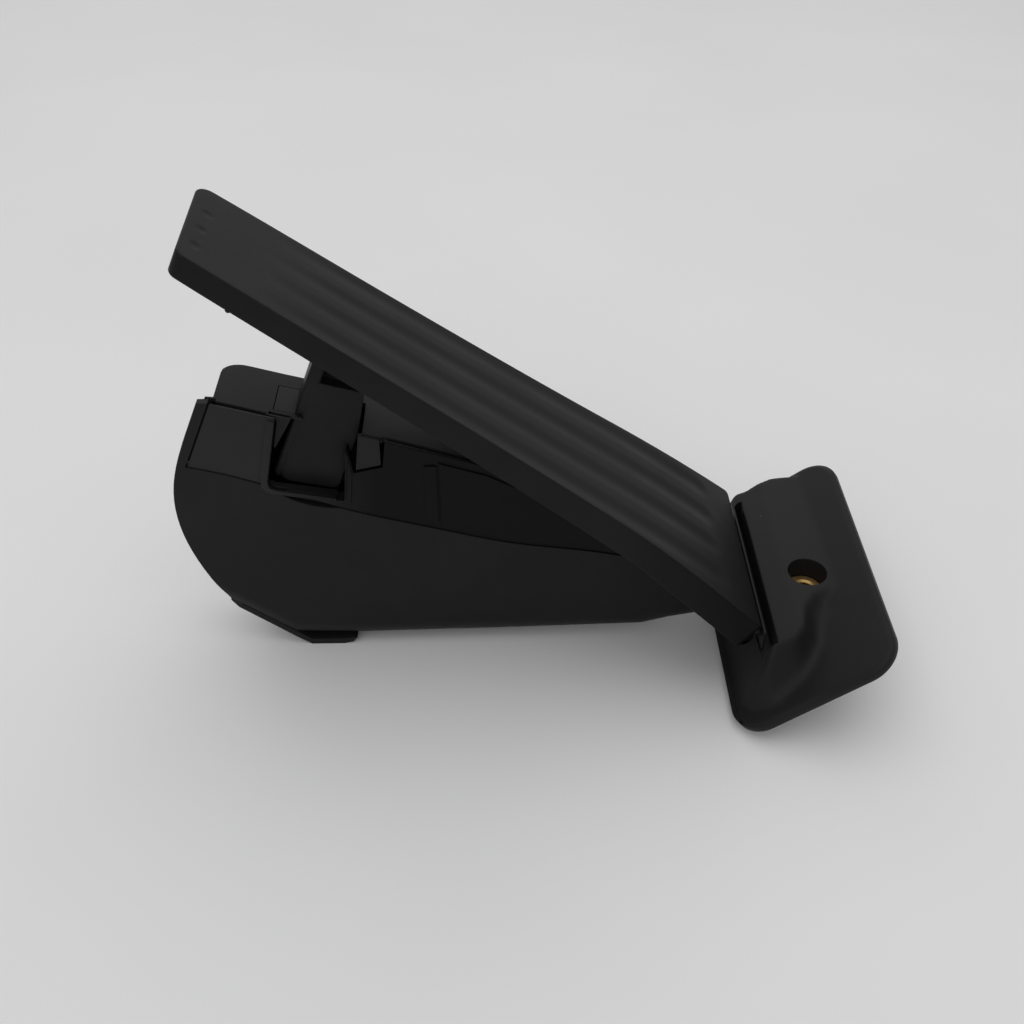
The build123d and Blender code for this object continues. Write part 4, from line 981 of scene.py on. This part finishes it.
MATERIALS = {
    "housing_plastic": plastic("housing_plastic", (0.0105, 0.0105, 0.0112), 0.46),
    # Painted light and shade: the sensor wall is a paler copy of the housing plastic, painted light at its left
    # end and painted shade from x -76 mm to -46 mm, where the pedal shades it.
    "wall_plastic_painted_light": plastic("wall_plastic_painted_light", (0.019, 0.019, 0.0197), 0.46, painted_light_fade=(-76.0, -46.0, 0.12)),
    # Painted shade: the tread's tone is painted darker from x 25 mm to 60 mm, towards its hinge end.
    "pedal_plastic": plastic("pedal_plastic", (0.0095, 0.0095, 0.0104), 0.46, grain=0.55, relief=0.028,
                             dust=0.10, gloss=0.10, painted_light_fade=(25.0, 60.0, 0.35)),
    # Painted light: the lid's tone is painted half as light again from x -64 mm to -48 mm, where the pedal shades
    # it.
    "cover_plastic": plastic("cover_plastic", (0.0125, 0.0125, 0.013), 0.50, dust=0.04,
                             painted_light_fade=(-64.0, -48.0, 1.5)),
    "lever_plastic": plastic("lever_plastic", (0.0105, 0.0105, 0.011), 0.44, dust=0.04),
    "hinge_plastic": plastic("hinge_plastic", (0.0105, 0.0105, 0.0115), 0.40, dust=0.05),
    "sensor_plastic": plastic("sensor_plastic", (0.012, 0.012, 0.012), 0.50, grain=0.7),
    "bearing_plastic": plastic("bearing_plastic", (0.66, 0.64, 0.58), 0.36, relief=0.01, dust=0.0,
                               gloss=0.5),
    "brass": metal("brass", (0.72, 0.47, 0.18), 0.42, (1.0, 1.0, 6.0)),
    "steel": metal("steel", (0.58, 0.58, 0.59), 0.28, (1.0, 0.2, 1.0)),
    "magnet": metal("magnet", (0.10, 0.10, 0.11), 0.48, (1.0, 1.0, 1.0)),
    "rubber": plastic("rubber", (0.012, 0.012, 0.012), 0.72, grain=0.3, gloss=0.2),
    "board": board_material("board", (0.02, 0.13, 0.06)),
}
SLOTS = {row["node"]: row["material_slot"] for row in frame["record"]["subparts"]}


def finish_piece(obj, slot, body, *nodes, look=None):
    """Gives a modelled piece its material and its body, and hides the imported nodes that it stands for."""
    obj.data.materials.clear()
    obj.data.materials.append(MATERIALS[look or slot])
    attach(obj, body)
    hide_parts(*nodes)


EDGE_WIDTHS = {
    "sensor_cover": 0.5,
    "cover_screws": 0.3, "spring_seat": 0.3, "spring_saddle": 0.3, "stop_buffer": 0.8,
}
FINE_EDGE = 0.15

finish_piece(build_base(), "housing_plastic", "housing", "base_housing")
finish_piece(build_pedal(), "pedal_plastic", "pedal", "pedal_plate")
finish_piece(build_hinge_strip(), "hinge_plastic", "housing", "hinge_strip")
finish_piece(build_lid(), "cover_plastic", "housing", "top_cover")
finish_piece(build_lever(), "lever_plastic", "lever", "sensor_lever")
# The sensor housing wears the wall plastic, whose tone carries painted light and painted shade.
finish_piece(build_sensor_housing(), "housing_plastic", "housing", "sensor_housing", look="wall_plastic_painted_light")
finish_piece(tube("bolt_bush", BUSH_PROFILE, BOLT), "brass", "housing", "heel_bolt_bush")
for spring, sizes in SPRINGS.items():
    coil = build_spring(f"{spring}_spring_coil", *sizes)
    finish_piece(coil, "steel", "housing", f"{spring}_return_spring")
    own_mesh(coil)
for node, obj in NODES.items():
    if obj.hide_render:
        continue
    dress(obj, EDGE_WIDTHS.get(node, FINE_EDGE))
    for place in obj.material_slots:
        place.material = MATERIALS[SLOTS[node]]


# Stage, lights and camera, with places in metres; a lamp has its place, target, size and power
FLOOR_REACH = 4000.0
LAMPS = {
    "overhead": ((-0.05, 0.05, 1.1), (-0.05, 0.05, 0), (1.3, 1.3), 4.4),
    "front": ((-0.4, -1.3, 1.1), (0, -0.1, 0.0), (1.4, 1.0), 3.0),
    "panel": ((0.0, 4.0, 2.1), (0, 0, 0.05), (8.0, 2.2), 42.0),
}
SURROUND = 0.46
CAMERA_LENS = 41.56
CAMERA_PLACE = (-0.0111, -0.27395, 0.280)
CAMERA_PITCH = math.radians(50.0)
CAMERA_TURN = math.radians(-1.08)


def build_stage():
    """Wide pale floor."""
    reach = FLOOR_REACH
    corners = [(-reach, -reach, 0), (reach, -reach, 0), (reach, reach, 0), (-reach, reach, 0)]
    floor = make_object("floor", corners, [(0, 1, 2, 3)])
    material, tree, shader, place = start_material("floor_paper")
    clouds = spread(tree, noise(tree, place, 180.0, 3.0), 0.3, 0.7, 0.0, 1.0)
    tone = mixed(tree, clouds, (0.80, 0.80, 0.805), (0.83, 0.83, 0.83))
    tree.links.new(tone, shader.inputs["Base Color"])
    shader.inputs["Roughness"].default_value = 0.75
    shader.inputs["Specular IOR Level"].default_value = 0.2
    floor.data.materials.append(material)


def add_lamp(name, place, target, size, power):
    """Soft rectangular lamp at a place, aimed at a target."""
    light = bpy.data.lights.new(name, "AREA")
    light.shape = "RECTANGLE"
    light.size, light.size_y = size
    light.energy = power
    lamp = bpy.data.objects.new(name, light)
    bpy.context.scene.collection.objects.link(lamp)
    lamp.location = place
    lamp.rotation_euler = (Vector(target) - Vector(place)).to_track_quat("-Z", "Y").to_euler()


def build_lights():
    """Soft boxes overhead and in front, a wide pale panel behind and an even surround."""
    for name, settings in LAMPS.items():
        add_lamp(name, *settings)
    world = bpy.data.worlds.new("surround")
    world.use_nodes = True
    bpy.context.scene.world = world
    background = world.node_tree.nodes["Background"]
    background.inputs["Color"].default_value = (1.0, 1.0, 1.0, 1.0)
    background.inputs["Strength"].default_value = SURROUND


def build_camera():
    """Camera at the photograph's place and angle."""
    camera = bpy.data.cameras.new("camera")
    camera.lens = CAMERA_LENS
    camera.sensor_width = 36.0
    camera.clip_start = 0.01
    obj = bpy.data.objects.new("camera", camera)
    obj.location = CAMERA_PLACE
    obj.rotation_euler = (CAMERA_PITCH, 0.0, CAMERA_TURN)
    bpy.context.scene.collection.objects.link(obj)
    bpy.context.scene.camera = obj


build_stage()
build_lights()
build_camera()
bpy.context.scene.view_settings.view_transform = "Standard"
